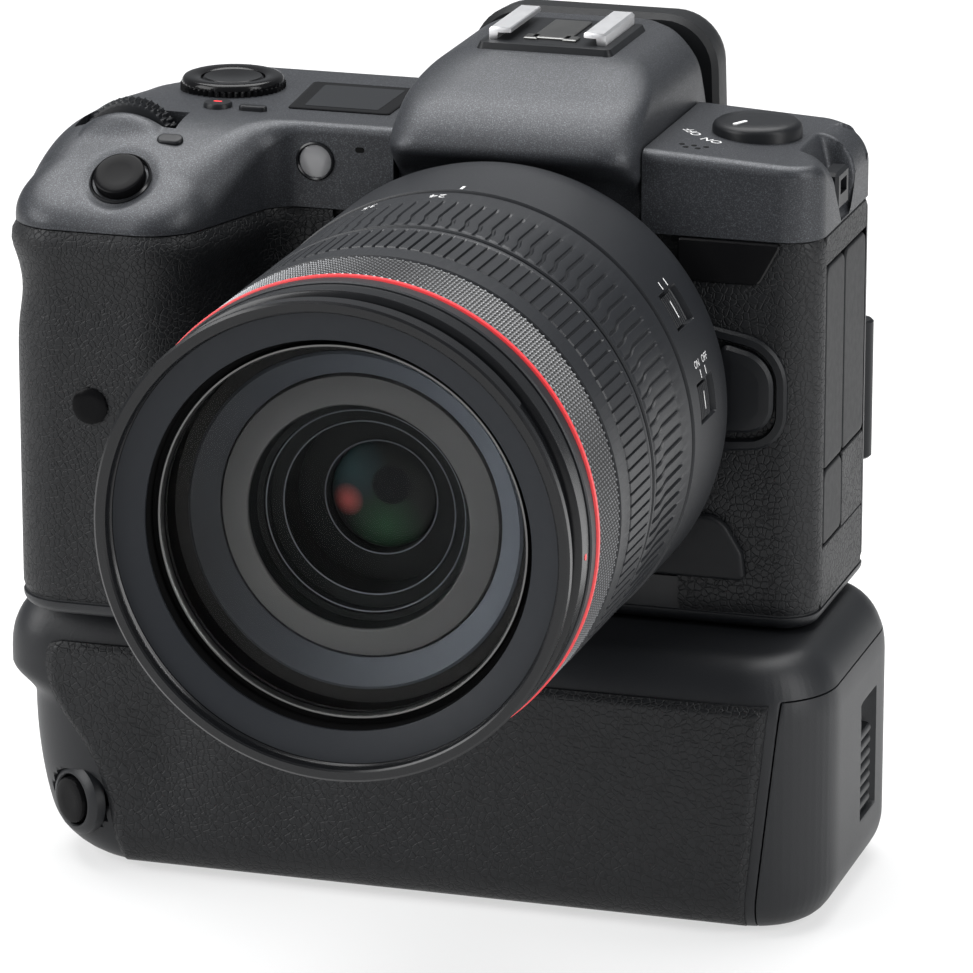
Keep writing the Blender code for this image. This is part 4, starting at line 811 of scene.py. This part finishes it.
def smooth_rows(rows, steps):
    """Catmull-Rom curve through the rows of numbers, with steps points in each span."""
    rows = np.array(rows, float)
    padded = np.vstack([2 * rows[0] - rows[1], rows, 2 * rows[-1] - rows[-2]])
    share = np.linspace(0, 1, steps, endpoint=False)[:, None, None]
    a, b, c, d = padded[:-3], padded[1:-2], padded[2:-1], padded[3:]
    curve = 0.5 * (2 * b + (c - a) * share + (2 * a - 5 * b + 4 * c - d) * share ** 2
                   + (3 * b - a - 3 * c + d) * share ** 3)
    return np.vstack([curve.transpose(1, 0, 2).reshape(-1, rows.shape[1]), rows[-1:]])


hump_rows = smooth_rows([(28.0, 20.7, 22.5, 1.0), (35.0, 20.7, 22.5, 1.0), (38.6, 25.5, 22.5, 3.0),
                         (41.6, 29.2, 22.5, 5.0), (45.0, 27.8, 22.5, 7.0), (49.0, 23.0, 22.0, 8.5),
                         (52.0, 16.0, 20.3, 9.0), (54.2, 10.0, 17.2, 7.0), (55.2, 6.6, 13.6, 5.0)], 6)
hump = []
for height, reach, half, corner in hump_rows:
    corners = [(half, 26, corner), (-half, 26, corner), (-half, -reach, corner), (half, -reach, corner)]
    hump.append(level(resample(outline(corners, 0, 10), 220), AXIS_Z + height))
skin("hump_cover", capped(hump), top_paint, "camera", ["finder_cover"], sharp=50.0)

# Lens front barrel: the tube that slides out as the lens zooms, turned from aluminium and anodised black.
# Its rim holds the filter thread inside, and outside the bayonet tabs and the groove for a hood.
LENS_FRONT = -127.3


def lens(name, profile, material, body, slot, replaces=(), **more):
    """A turned piece on the lens axis, from a profile of (radius, depth behind the front edge)."""
    more = {"sides": 240, "closed": True, **more}
    return turned(name, profile, material, body, slot, replaces, (0, LENS_FRONT, AXIS_Z), (0, 1, 0), **more)


def hood_tabs(angle, radius, height):
    """Two quarter-turn tabs stand on the rim behind its lip; between them the rim is cut back."""
    turn = np.degrees(-angle) % 180
    tab = within(turn, 37.9, 127.9, 0.3)
    return -1.1 * (1 - tab) * (height > 2.0) * (height < 3.8) * (radius > 39.5)


def round_lens(radius, angle, depth):
    """Points at a radius and an angle round the lens axis, at a depth behind its front edge."""
    spots = radius * np.cos(angle), LENS_FRONT + depth, AXIS_Z + radius * np.sin(angle)
    return np.stack(np.broadcast_arrays(*spots), -1)


rim_black = mottled("rim_black", (0.0040, 0.0043, 0.0050), (0.0058, 0.0062, 0.0072), 50, (400, 3, 0.08, 0.2),
                    shine=0.34, grain=(3000, 0.06, 0.00005))
thread = [(38.3 + 0.3 * (k % 2), 6.6 - 0.35 * k) for k in range(16)]
lens("front_rim", [(38.7, 0.25), (39.0, 0.0), (40.3, 0.0), (40.7, 0.35), (40.7, 1.7), (40.5, 1.95),
                   (40.5, 2.05), (40.5, 3.7), (39.1, 3.9), (39.1, 6.9), (40.4, 7.1), (40.7, 7.4),
                   (40.7, 11.0), (40.4, 11.3), (36.3, 11.35), (36.3, 60.0), (34.8, 60.0), (34.8, 7.2),
                   (38.3, 6.9), *thread], rim_black, "front_barrel", "plastic", ["zoom_barrel"],
     ripple=hood_tabs)
signal_red = mottled("signal_red", (0.72, 0.035, 0.042), (0.80, 0.048, 0.055), 60, (300, 2, 0.1, 0.32))
turned("hood_mark", [(0.55, -0.2), (0.55, 0.04), (0.3, 0.07)], signal_red, "front_barrel", "red", (),
       (40.7, LENS_FRONT + 9.3, AXIS_Z - 1.2), (1, 0, 0), 24)

# Front bezel and cell: a matte slate ring slopes in from the thread, then a bright retaining edge and a black
# wall, whose black is painted shade, lead down to a flocked step, a slate cone painted paler on its lit right
# and darker on its shaded left, and the grey ring round the inner glass.
bezel_slate = mottled("bezel_slate", (0.0080, 0.0097, 0.0128), (0.0098, 0.0118, 0.0154), 40,
                      (500, 3, 0.1, 0.58), shine=0.3, grain=(5200, 0.12, 0.00005))
lens("front_bezel", [(38.25, 2.6), (33.4, 3.95), (33.2, 4.1), (33.2, 4.6), (34.6, 5.4), (38.25, 4.0)],
     bezel_slate, "front_barrel", "slate", ["name_ring"])
# The cell wall is near-black as painted shade, for the shade that lies inside the cell.
lens("cell_wall", [(33.15, 4.62), (33.15, 7.9), (31.2, 7.9), (31.2, 13.6), (34.5, 13.6), (34.5, 5.45)],
     painted_shade_black, "front_barrel", "plastic", ["inner_cell"])
edge_grey = mottled("edge_grey", (0.12, 0.12, 0.12), (0.17, 0.17, 0.165), 60, (300, 2, 0.1, 0.3), metal=1.0)
lens("cell_edge", [(32.0, 7.0), (31.75, 6.6), (31.45, 6.6), (31.2, 7.0), (31.2, 7.88), (32.0, 7.88)],
     edge_grey, "front_barrel", "slate")


def cone_painted_light(at):
    """Slate with painted light: paler on the lit right of the cone, darker on its shaded left, with a little
    noise in the border.
    """
    across = at.node("SeparateXYZ", {}, {0: at})
    # Painted light and shade: the right side of the cone is painted paler, the left side darker.
    painted_lit_side = (across + at.noise(30, 1) * 0.006).between(-0.030, 0.022)
    return {"Base Color": painted_lit_side.mix((0.028, 0.029, 0.031), (0.115, 0.126, 0.146)),
            "Specular IOR Level": 0.2, "Roughness": at.noise(300, 2) * 0.1 + 0.5,
            "Normal": at.noise(5000, 2).bump(0.1, 0.00005)}


cone_slate_painted_light = finish("cone_slate_painted_light", cone_painted_light)
lens("cell_cone", [(28.9, 13.5), (28.4, 13.2), (24.4, 16.6), (24.3, 18.0), (28.9, 14.9)], cone_slate_painted_light,
     "front_barrel", "slate")
flock_grey = mottled("flock_grey", (0.008, 0.008, 0.008), (0.040, 0.039, 0.038), 2600, (300, 2, 0.1, 0.8),
                     shine=0.1, grain=(4200, 0.4, 0.00008))
lens("flock_step", [(31.15, 13.4), (28.95, 13.6), (28.95, 15.0), (31.15, 15.0)], flock_grey, "front_barrel",
     "slate")
ring_grey = mottled("ring_grey", (0.094, 0.092, 0.090), (0.114, 0.112, 0.111), 30, (300, 2, 0.1, 0.5),
                    shine=0.25)
lens("cell_ring", [(24.28, 17.4), (23.9, 16.3), (19.4, 15.3), (19.2, 15.5), (19.2, 18.0), (24.28, 18.0)],
     ring_grey, "front_barrel", "slate")
cell_gloss = mottled("cell_gloss", (0.0034, 0.0046, 0.0046), (0.0046, 0.0060, 0.0060), 60,
                     (300, 2, 0.08, 0.46), shine=0.12)
lens("cell_steps", [(19.18, 15.9), (18.6, 18.5), (17.6, 18.7), (17.2, 21.5), (15.2, 21.7), (14.7, 24.0),
                    (14.6, 28.0), (9.8, 28.2), (9.4, 33.0), (9.4, 38.0), (19.18, 38.0)], cell_gloss,
     "front_barrel", "plastic", ["iris_unit"])
# Thin pale rings at the edges of the cell steps: painted highlights, their light colour standing for the
# bright circles of light there.
painted_highlight_grey = mottled("painted_highlight_grey", (0.16, 0.17, 0.19), (0.24, 0.255, 0.28), 60, (300, 2, 0.1, 0.4))
for ring_name, ring_radius, ring_depth in (("outer_highlight_ring", 17.3, 19.4), ("middle_highlight_ring", 14.9, 21.4),
                                           ("inner_highlight_ring", 9.8, 27.8)):
    lens(ring_name, [(ring_radius - 0.12, ring_depth), (ring_radius, ring_depth - 0.16),
                     (ring_radius + 0.12, ring_depth), (ring_radius, ring_depth + 0.16)], painted_highlight_grey,
         "front_barrel", "slate")


def deep_glass_painted_glints(at):
    """Dark coated glass with painted reflections that fade with distance: a green glint low down, a teal one
    at the left and a small red one beside the middle, which is painted darker as painted shade."""
    glass_y = -0.0984

    # Each glow is a painted reflection: a patch of colour that fades with the distance from its spot; the
    # green, teal and red ones are painted glints.
    def glow(x, z, size):
        away = at.node("VectorMath", {"operation": "DISTANCE"}, {0: at, 1: (x, glass_y, z)}, 1)
        return away.between(size, 0.0)
    green_glint = glow(0.0004, 0.0890, 0.0070)
    teal_glint = glow(-0.0060, 0.0985, 0.0070)
    red = glow(-0.0063, 0.0930, 0.0030)
    # The middle of the glass is painted darker, as painted shade.
    painted_dark_middle = glow(0.0014, 0.0962, 0.0040).between(0.10, 0.25)
    painted_reflection = teal_glint.mix(green_glint.mix((0.011, 0.012, 0.012), (0.016, 0.058, 0.026)), (0.024, 0.056, 0.060))
    painted_reflection = painted_dark_middle.mix(red.mix(painted_reflection, (0.42, 0.09, 0.08)), (0.003, 0.004, 0.005))
    return {"Base Color": painted_reflection, "Roughness": 0.3, "Specular IOR Level": 0.1}


glass_with_painted_glints = finish("glass_with_painted_glints", deep_glass_painted_glints)
dome = np.linspace(0, 1, 9)
# The inner glass carries painted reflections and a painted dark middle in its colour.
lens("inner_glass", [(9.4, 36.0), *[(9.35 * math.cos(a * 1.45), 30.2 - 1.6 * math.sin(a * 1.45))
                                    for a in dome]], glass_with_painted_glints, "front_barrel", "glass", ["inner_element"],
     closed=False)
clear_glass = finish("clear_glass", lambda at: {
    "Base Color": (0.97, 0.98, 0.985), "Roughness": 0.0, "Transmission Weight": 1.0, "IOR": 1.09})
sag = np.linspace(0.03, 1, 14)
lens("front_glass", [*[(31.1 * s, 5.2 + 3.1 * s * s) for s in sag],
                     *[(31.1 * s, 6.2 + 3.1 * s * s) for s in sag[::-1]]], clear_glass, "front_barrel",
     "glass", ["front_element"], closed=False)

# Lens rings: the collar, the red trim, then the control, focus and zoom rings. The rings are aluminium, the
# first knurled in fine points that show bare metal, the others with ribs cut along them and a satin skin.


def lens_skin(at):
    """Near-black satin: the colour drifts with a broad noise, and a fine one is the roughness and bump."""
    grain = at.noise(3600, 3, 0.6)
    broad = at.noise(50, 2)
    return {"Base Color": broad.mix((0.0088, 0.0097, 0.0117), (0.0120, 0.0132, 0.0156)),
            "Specular IOR Level": 0.36, "Roughness": grain * 0.12 + 0.36, "Normal": grain.bump(0.2, 0.00008)}


lens_satin = finish("lens_satin", lens_skin)
lens("trim_collar", [(40.8, 11.6), (41.05, 11.85), (41.05, 14.3), (40.8, 14.55), (37.3, 14.55), (37.3, 11.6)],
     lens_satin, "camera", "plastic", ["front_collar"])
lens("red_band", [(41.0, 14.6), (41.35, 14.75), (41.35, 15.5), (41.0, 15.7), (38.0, 15.7), (38.0, 14.6)],
     signal_red, "camera", "red", ["red_trim_ring"])


def off_axis(at):
    """How far a point is from the lens axis, in metres."""
    spot = at.node("VectorMath", {"operation": "MULTIPLY_ADD"},
                   {0: at, 1: (1, 0, 1), 2: (0, 0, -AXIS_Z * MM)})
    return spot.node("VectorMath", {"operation": "LENGTH"}, {0: spot}, 1)


def knurl_metal(at):
    """Dark in the grooves and bare metal on the points, by the distance from the axis."""
    tip = off_axis(at).between(0.04108, 0.04130)
    return {"Base Color": tip.mix((0.006, 0.0062, 0.0068), (0.24, 0.245, 0.255)), "Metallic": tip * 0.85,
            "Roughness": 0.42 - tip * 0.06}


knurl_points = finish("knurl_points", knurl_metal)
around, across = 384, 19
turn_index, row_index = np.meshgrid(np.arange(around), np.arange(across), indexing="ij")
radius = np.where((turn_index + row_index) % 2 == 0, 41.32, 40.85)
angle = turn_index * 2 * np.pi / around
depth = 16.35 + row_index * (27.45 - 16.35) / (across - 1)
knurl = round_lens(radius, angle, depth)
rest = [round_lens(r, angle[:, 0], d) for r, d in ((41.0, 27.85), (38.0, 27.85), (38.0, 15.9), (41.0, 15.9))]
knurl = np.concatenate([knurl, np.stack(rest, 1)], 1)
cell = np.arange(around * (across + 4)).reshape(around, across + 4)
cell = np.vstack([cell, cell[:1]])
cell = np.hstack([cell, cell[:, :1]])
a, b, c, d = cell[:-1, :-1], cell[1:, :-1], cell[1:, 1:], cell[:-1, 1:]
even = (np.add.outer(np.arange(around), np.arange(across + 4)) % 2 == 0)[..., None]
first = np.where(even, np.stack([a, b, d], -1), np.stack([a, b, c], -1))
second = np.where(even, np.stack([b, c, d], -1), np.stack([a, c, d], -1))
shell("control_knurl", knurl.reshape(-1, 3), np.concatenate([first, second]).reshape(-1, 3), knurl_points,
      "control_grip", ["control_ring"], flat=True)
RING_RADIUS = 41.3


def ribbed_ring(name, count, steps, depths, relief, material, body, replaces, bend=None):
    """Ribs along a lens ring: over each pitch the heights in steps, scaled by the relief at each depth."""
    share, lift = np.array(steps, float).T
    angle = ((np.arange(count)[:, None] + share[None, :]) * 2 * np.pi / count).ravel()
    lift = np.tile(lift, count)
    depths, relief = np.array(depths, float), np.array(relief, float)
    slide = bend(depths) if bend else 0 * depths
    radius = relief[:, :1] + relief[:, 1:] * lift[None, :]
    swing = angle[None, :] + slide[:, None] / RING_RADIUS
    face = round_lens(radius, swing, depths[:, None])
    bore = round_lens(38.0, angle[None, :], depths[[-1, 0], None])
    return skin(name, np.concatenate([face, bore]), material, body, replaces, (True, True), 30.0)


bar = [(0.0, 0), (0.14, 0), (0.21, 1), (0.93, 1)]
ribbed_ring("focus_ribs", 126, bar, [28.2, 28.4, 33.6, 33.9, 34.2, 45.6, 45.9, 46.3, 46.6, 47.2, 47.6],
            [(41.0, 0), (41.3, 0), (41.3, 0), (40.95, 0.2), (40.95, 0.45), (40.95, 0.45), (40.95, 0.2),
             (41.25, 0), (41.3, 0), (41.3, 0), (40.9, 0)], lens_satin, "focus_grip",
            ["focus_ring"])
zoom_depth = np.concatenate([[48.5, 48.7, 49.3, 49.6], np.linspace(50, 65.0, 16),
                             [65.6, 66.2, 66.5, 72.1, 72.4]])
zoom_relief = np.array([(41.0, 0), (41.3, 0), (41.3, 0), (40.95, 0.5), *[(40.95, 0.5)] * 16, (41.0, 0.45),
                        (41.3, 0.1), (41.35, 0), (41.35, 0), (41.0, 0)])
ribbed_ring("zoom_ribs", 108, [(0.0, 0), (0.16, 0.1), (0.24, 0.8), (0.5, 1), (0.91, 1)], zoom_depth,
            zoom_relief, lens_satin, "zoom_grip", ["zoom_ring"],
            lambda d: 0.75 * ease(d, 52.6, 56.2))

# Fixed lens barrel: the stationary housing behind the rings, down to the mount. Satin metal, with two slots
# for its slide switches and a white line that the zoom scale is read against.
BARREL_RADIUS, SWITCH_ANGLES = 41.75, (31.0, 8.0)
barrel_angle = np.radians(np.unique(np.concatenate([np.linspace(0, 360, 200, endpoint=False),
                                                    np.arange(-3, 42, 0.3) % 360])))
barrel_depth = np.concatenate([[72.75, 72.95, 75.0], np.arange(76.6, 87.4, 0.3), [90, 93, 95.5],
                               np.linspace(96, 106, 10)])
barrel_radius = np.interp(barrel_depth, [72.75, 72.95, 94.0, 97.0, 106.0],
                          [41.4, 41.7, BARREL_RADIUS, 40.9, 32.7])
swing, depth = np.meshgrid(barrel_angle, barrel_depth)
sink = np.zeros_like(swing)
for middle in SWITCH_ANGLES:
    arc = ((np.degrees(swing) - middle + 180) % 360 - 180) * math.radians(1) * BARREL_RADIUS
    sink += within(arc, -3.4, 3.4, 0.2) * within(depth, 77.4, 86.6, 0.2)
radius = barrel_radius[:, None] - 1.3 * sink
barrel = round_lens(radius, swing, depth)
inner_rows = [round_lens(r, barrel_angle, d) for r, d in ((30.0, 106.0), (37.9, 95.0), (37.9, 72.75))]
skin("rear_barrel", np.concatenate([barrel, np.stack(inner_rows)]), lens_satin, "camera",
     ["lens_fixed_barrel"], (True, True), 34.0)


def on_barrel(name, flat, angle, depth, radius, material, body, thick=0.05):
    """Lay flat shapes (right, up) on the lens, to be read from behind: right runs over the top to the left,
    and up runs to the front."""
    points, faces = flat
    swing = math.radians(angle) + points[:, 0] / radius
    return shell(name, round_lens(radius + thick, swing, depth - points[:, 1]), faces, material, body,
                 flat=True)


def oblong(width, height):
    """Four points and one face, centred on the origin."""
    half, tall = width / 2, height / 2
    return np.array([(-half, -tall), (half, -tall), (half, tall), (-half, tall)]), np.array([(0, 1, 2, 3)])


def letters(words, size):
    """The filled outline of a word or number, centred on the origin: its points in millimetres and faces."""
    curve = bpy.data.curves.new(words, "FONT")
    curve.body = words
    curve.size = size
    curve.align_x = "CENTER"
    curve.align_y = "CENTER"
    curve.resolution_u = 3
    holder = bpy.data.objects.new(words, curve)
    bpy.context.scene.collection.objects.link(holder)
    bpy.context.view_layer.update()
    mesh = bpy.data.meshes.new_from_object(holder.evaluated_get(bpy.context.evaluated_depsgraph_get()))
    points = np.zeros(len(mesh.vertices) * 3)
    mesh.vertices.foreach_get("co", points)
    faces = [tuple(face.vertices) for face in mesh.polygons]
    bpy.data.objects.remove(holder)
    bpy.data.meshes.remove(mesh)
    bpy.data.curves.remove(curve)
    return points.reshape(-1, 3)[:, :2], faces


white_mark = mottled("white_mark", (0.60, 0.60, 0.60), (0.68, 0.68, 0.68), 200, (400, 2, 0.1, 0.45))
for number, angle in (("24", 94.5), ("35", 112.0), ("50", 130.0), ("70", 148.0), ("105", 167.0)):
    on_barrel("scale_" + number, letters(number, 3.0), angle, 69.6, 41.35, white_mark, "zoom_grip")
on_barrel("zoom_line", oblong(0.5, 2.0), 90.4, 74.3, 41.72, white_mark, "camera")

# Lens slide switches: ribbed knobs in the two slots of the fixed barrel, each with a white line, and white
# ticks beside the slots for the two places that a knob clicks into.


def switch_knob(name, angle, body, node):
    """A block curved to the barrel: its top ribbed along the depth, its sides straight down into the slot."""
    depth = np.linspace(77.95, 83.45, 56)
    top = 41.35 + 0.3 * np.abs(np.sin((depth - 77.95) * math.pi / 0.92)) ** 0.6
    side = np.array([-2.9, -2.9, -1.0, 1.0, 2.9, 2.9])
    swing = math.radians(angle) + side / RING_RADIUS
    radius = np.repeat(top[:, None], len(side), 1)
    radius[:, [0, 5]] = 40.5
    skin(name, capped(list(round_lens(radius, swing, depth[:, None]))), satin_black, body, [node])
    on_barrel(name + "_line", oblong(3.2, 0.35), angle, 80.7, 41.66, white_mark, body, 0.02)
    for tick, depth_at in (("_tick_front", 80.7), ("_tick_rear", 83.7)):
        on_barrel(name + tick, oblong(1.5, 0.35), angle + 6.4, depth_at, BARREL_RADIUS, white_mark, "camera")


switch_knob("focus_slide", SWITCH_ANGLES[0], "focus_knob", "focus_mode_switch")
switch_knob("steady_slide", SWITCH_ANGLES[1], "stabilizer_knob", "stabilizer_switch")
for word, depth_at in (("ON", 79.9), ("OFF", 84.6)):
    points, faces = letters(word, 1.9)
    on_barrel("steady_" + word.lower(), (np.column_stack([points[:, 1], -points[:, 0]]), faces), 17.0,
              depth_at, BARREL_RADIUS, white_mark, "camera")

# Release pad controls: the gloss shutter button in its bowl, a pill button behind it and the front wheel, a
# toothed disc on a shaft from front to back that stands up through its slot.
PAD_UP = (0.0, -math.sin(PAD_LEAN), math.cos(PAD_LEAN))
CAP_LEAN = math.radians(13)


def on_pad(x, y):
    """A place on the release pad."""
    return np.array((x, y, pad_height(y)))


cap_up = (0, -math.sin(PAD_LEAN + CAP_LEAN), math.cos(PAD_LEAN + CAP_LEAN))
turned("shutter_cap", [(4.6, -3.5), (4.6, 0.7), (4.45, 1.2), (4.0, 1.4), (2.4, 1.2), (1.0, 1.1)], cap_black,
       "shutter_key", "gloss", ["shutter_button"], on_pad(PAD_X, PAD_Y), cap_up)
turned("shutter_seat", [(5.05, -2.5), (5.05, -0.2), (5.3, 0.1), (5.6, -0.2), (5.6, -2.5)], rim_black,
       "camera", "plastic", (), on_pad(PAD_X, PAD_Y), cap_up, closed=True)
pill = four_corners(-2.4, -1.35, 2.4, 1.35, 1.3)
plate("pill_button", pill, cushioned(1.1, 0.5, -2.0), satin_black, "function_key", "plastic",
      ["function_button"], on_pad(-61.0, -31.8), PAD_UP, (1, 0, 0))


def wheel_points(angle, radius, height):
    """Two rows of pointed teeth round a wheel, the second row set half a tooth on."""
    saw = np.abs((angle * 44 / (2 * np.pi) + 0.5 * (height > 0)) % 1 - 0.5) * 2
    return -0.75 * (1 - saw) * (np.abs(np.abs(height) - 1.1) < 0.95) * (radius > 8.6)


turned("front_toothed_wheel", [(2.0, -2.5), (7.9, -2.5), (8.4, -2.2), (8.8, -1.9), (8.8, -0.3), (8.2, -0.12),
                               (8.2, 0.12), (8.8, 0.3), (8.8, 1.9), (8.4, 2.2), (7.9, 2.5), (2.0, 2.5)],
       satin_black, "front_wheel", "plastic", ["main_dial"], (-71.0, -24.0, 131.6), (0, 1, 0), 352,
       wheel_points)

# Deck controls: the mode dial with its push button, the record and lamp buttons and the small display under
# its dark window. Gloss and satin mouldings let into the painted deck.
MODE_AT, RECORD_AT = (-60.5, 0.5, DECK_Z), (-58, -15, DECK_Z)
turned("mode_rim", [(5.8, -1.2), (9.2, -1.2), (9.6, -0.9), (9.6, 0.9), (9.3, 1.1), (9.25, 1.6), (8.9, 2.1),
                    (8.3, 2.3), (6.4, 2.2), (5.85, 1.9)], gloss_black, "mode_wheel", "gloss", ["mode_dial"],
       MODE_AT, sides=288, ripple=teeth(48, 0.6, -1.0, 1.0), closed=True)
turned("mode_push", [(5.6, -1.0), (5.6, 1.7), (5.2, 2.05), (4.2, 1.95), (2.0, 1.75), (0.8, 1.7)], gloss_black,
       "mode_key", "gloss", ["mode_button"], MODE_AT)
turned("record_cap", [(2.6, -1.0), (2.6, 0.5), (2.35, 0.85), (1.2, 0.9)], satin_black, "record_key",
       "plastic", ["record_button"], RECORD_AT)
plate("record_dash", four_corners(-0.8, -0.35, 0.8, 0.35, 0.1), [(0, 0.85), (0, 0.93)], signal_red,
      "record_key", "red", (), RECORD_AT)
plate("lamp_cap", four_corners(-2.6, -0.95, 2.6, 0.95, 0.9), cushioned(0.9, 0.4, -1.0), satin_black,
      "lamp_key", "plastic", ["lamp_button"], (-51, -16, DECK_Z))
window = [(-26.5, 8, 0.8), (-47.5, 8, 0.8), (-45.5, -13, 0.8), (-26.5, -13, 0.8)]
plate("display_window", window, [(0, -1.0), (0, 0.16), (0.25, 0.24)], cap_black, "camera", "gloss",
      ["top_display"], (0, 0, DECK_Z))
display_grey = mottled("display_grey", (0.0085, 0.0092, 0.0105), (0.0115, 0.0124, 0.014), 40, 0.16, shine=0.2)
plate("display_face", [(x, y, 0.4) for x, y in ((-29.3, 5.6), (-44.6, 5.6), (-43.1, -10.6), (-29.3, -10.6))],
      [(0, 0.2), (0, 0.27)], display_grey, "camera", "glass", (), (0, 0, DECK_Z))

# Focus lamp and microphone: a grey plastic lens in a dark rim, pressed into the front of the right cover, and
# beside it the small oblong hole that lets sound in, drawn as a dark plate of painted shade.
LAMP_AT = (-37.3, FRONT_Y, 130.8)
lamp_lens = mottled("lamp_lens", (0.17, 0.17, 0.175), (0.21, 0.21, 0.215), 90, 0.22, coat=0.5)
turned("lamp_rim", [(3.0, -1.0), (3.0, 0.2), (3.25, 0.45), (3.55, 0.3), (3.6, -1.0)], rim_black, "camera",
       "plastic", (), LAMP_AT, (0, -1, 0), 48, closed=True)
turned("lamp_dome", [(3.0, -1.0), (3.0, 0.0), (2.2, 0.25), (1.0, 0.35)], lamp_lens, "camera", "lamp",
       ["focus_lamp_window"], LAMP_AT, (0, -1, 0), 48)
# The sound hole is a near-black plate: painted shade.
plate("mic_slot", four_corners(-0.85, -0.5, 0.85, 0.5, 0.45), [(0, -0.5), (0, 0.05)], painted_shade_black, "camera",
      "plastic", (), (-29.0, FRONT_Y, 133.4), (0, -1, 0), (1, 0, 0))

# Power switch and shoulder: a low satin knob with a white line turned to its mark, sound holes beside it,
# drawn as dark discs of painted shade.
# The mark is printed so that it reads from behind the camera.
POWER_AT = (38, -0.5, 136.4)
turned("power_cap", [(8.0, -2.0), (8.0, 1.3), (7.7, 1.9), (6.9, 2.4), (4.0, 2.55), (1.5, 2.55)], satin_black,
       "power_knob", "plastic", ["power_switch"], POWER_AT, sides=144)
plate("power_line", four_corners(-0.4, -6.3, 0.4, -2.9, 0.1), [(0, 2.3), (0, 2.66)], white_mark, "power_knob",
      "plastic", (), POWER_AT, (0, 0, 1), (0.89, -0.46, 0))
for word, x, y in (("ON", 32.2, -9.8), ("OFF", 27.6, -5.6)):
    points, faces = letters(word, 2.7)
    turn = math.radians(180 - 26 if word == "ON" else 180 - 50)
    spun = points @ np.array(((math.cos(turn), math.sin(turn)), (-math.sin(turn), math.cos(turn))))
    put = np.column_stack([spun[:, 0] + x, spun[:, 1] + y, np.zeros(len(spun))])
    put[:, 2] = shoulder_height(put[:, 0]) + 0.05
    shell("power_" + word.lower(), put, faces, white_mark, "camera", flat=True)
# Each sound hole is a near-black disc: painted shade.
for hole, (x, y) in enumerate(((28.0, -14.6), (30.2, -14.6), (32.4, -14.6), (29.1, -16.2), (31.3, -16.2))):
    turned(f"sound_hole_{hole}", [(0.55, -0.4), (0.55, 0.04), (0.2, 0.05)], painted_shade_black, "camera", "plastic",
           (), (x, y, shoulder_height(x)), sides=14)

# Accessory shoe: a black moulded foot on the hump, a pressed bright rail bent over each side and sprung
# contact strips between them.
plate("shoe_foot", four_corners(-12.6, -6.0, 12.6, 17.5, 1.5),
      [(-0.4, 148.4), (0, 149.6), (0.5, 150.6), (1.4, 150.8)], satin_black, "camera", "plastic",
      ["shoe_base"])
rail_loop = np.array([(10.8, 150.7), (10.8, 152.6), (10.4, 153.0), (6.95, 153.0), (6.75, 152.8),
                      (6.75, 152.1), (9.2, 152.0), (9.35, 150.7)])
rail_run = np.array([-3.5, -3.3, 15.3, 15.5])
rail_draw = np.array([0.25, 0.0, 0.0, 0.25])
for side_name, sign in (("left", 1), ("right", -1)):
    middle = rail_loop.mean(0)
    rows = []
    for y, draw in zip(rail_run, rail_draw):
        across, high = (middle + (rail_loop - middle) * (1 - draw)).T
        rows.append(np.column_stack([sign * across, np.full_like(across, y), high]))
    skin("shoe_rail_" + side_name, capped(rows), bright_steel, "camera",
         ["shoe_rails"] if sign > 0 else [])
for strip, (x, y, wide, long) in enumerate(((0.0, 6.0, 7.0, 15.0), (-3.6, -0.6, 2.6, 3.2),
                                            (3.6, -0.6, 2.6, 3.2))):
    plate(f"shoe_strip_{strip}", four_corners(x - wide / 2, y - long / 2, x + wide / 2, y + long / 2, 0.3),
          [(0, 150.6), (0, 151.1), (0.2, 151.25)], edge_grey, "camera", "steel")

# Eyecup: a soft rubber hood round the finder's eyepiece, moulded in one and pushed over its frame. The glass
# is set deep in it.
EYE_Z = 133.8
cup_outer = [(23, -16.6, 10), (24, 13.5, 11), (-24, 13.5, 11), (-23, -16.6, 10)]
cup_inner = [(17, -9, 6), (17, 9, 6), (-17, 9, 6), (-17, -9, 6)]
cup_rows = [level(outline(cup_outer, inset, 10), depth)
            for inset, depth in ((1.0, 0.0), (0.0, 1.2), (0.3, 7.0), (0.9, 9.8), (2.0, 10.8), (3.5, 11.0))]
cup_rows += [level(outline(cup_inner, inset, 10), depth)
             for inset, depth in ((-2.0, 10.2), (-0.8, 8.0), (0.0, 5.0), (0.0, 0.0))]
skin("eye_cup", place(np.stack(cup_rows), (0, 26.3, EYE_Z), (0, 1, 0), (1, 0, 0)), soft_rubber, "camera",
     ["eyecup"], (True, True))
plate("eye_glass", cup_inner, [(0, 26.3), (0, 27.8), (1.0, 28.3)], gloss_black, "camera", "glass",
      ["eyepiece_lens"], (0, 0, EYE_Z), (0, 1, 0), (1, 0, 0))

# Inside pieces: the front wall behind the leather, the mount, the shutter, the sensor and the battery tray.
# They keep their solids, finished as grained elastomer, satin plastic, bare steel or coated glass.
sensor_glass = mottled("sensor_glass", (0.020, 0.035, 0.032), (0.035, 0.030, 0.055), 60, 0.1, coat=0.5)
for node_name, material in (("front_cover", leather_broad), ("body_mount_ring", bright_steel),
                            ("shutter_unit", satin_black), ("image_sensor", sensor_glass),
                            ("lens_mount_plate", bright_steel), ("battery_tray", satin_black)):
    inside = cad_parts[node_name].data.materials
    inside.clear()
    inside.append(material)
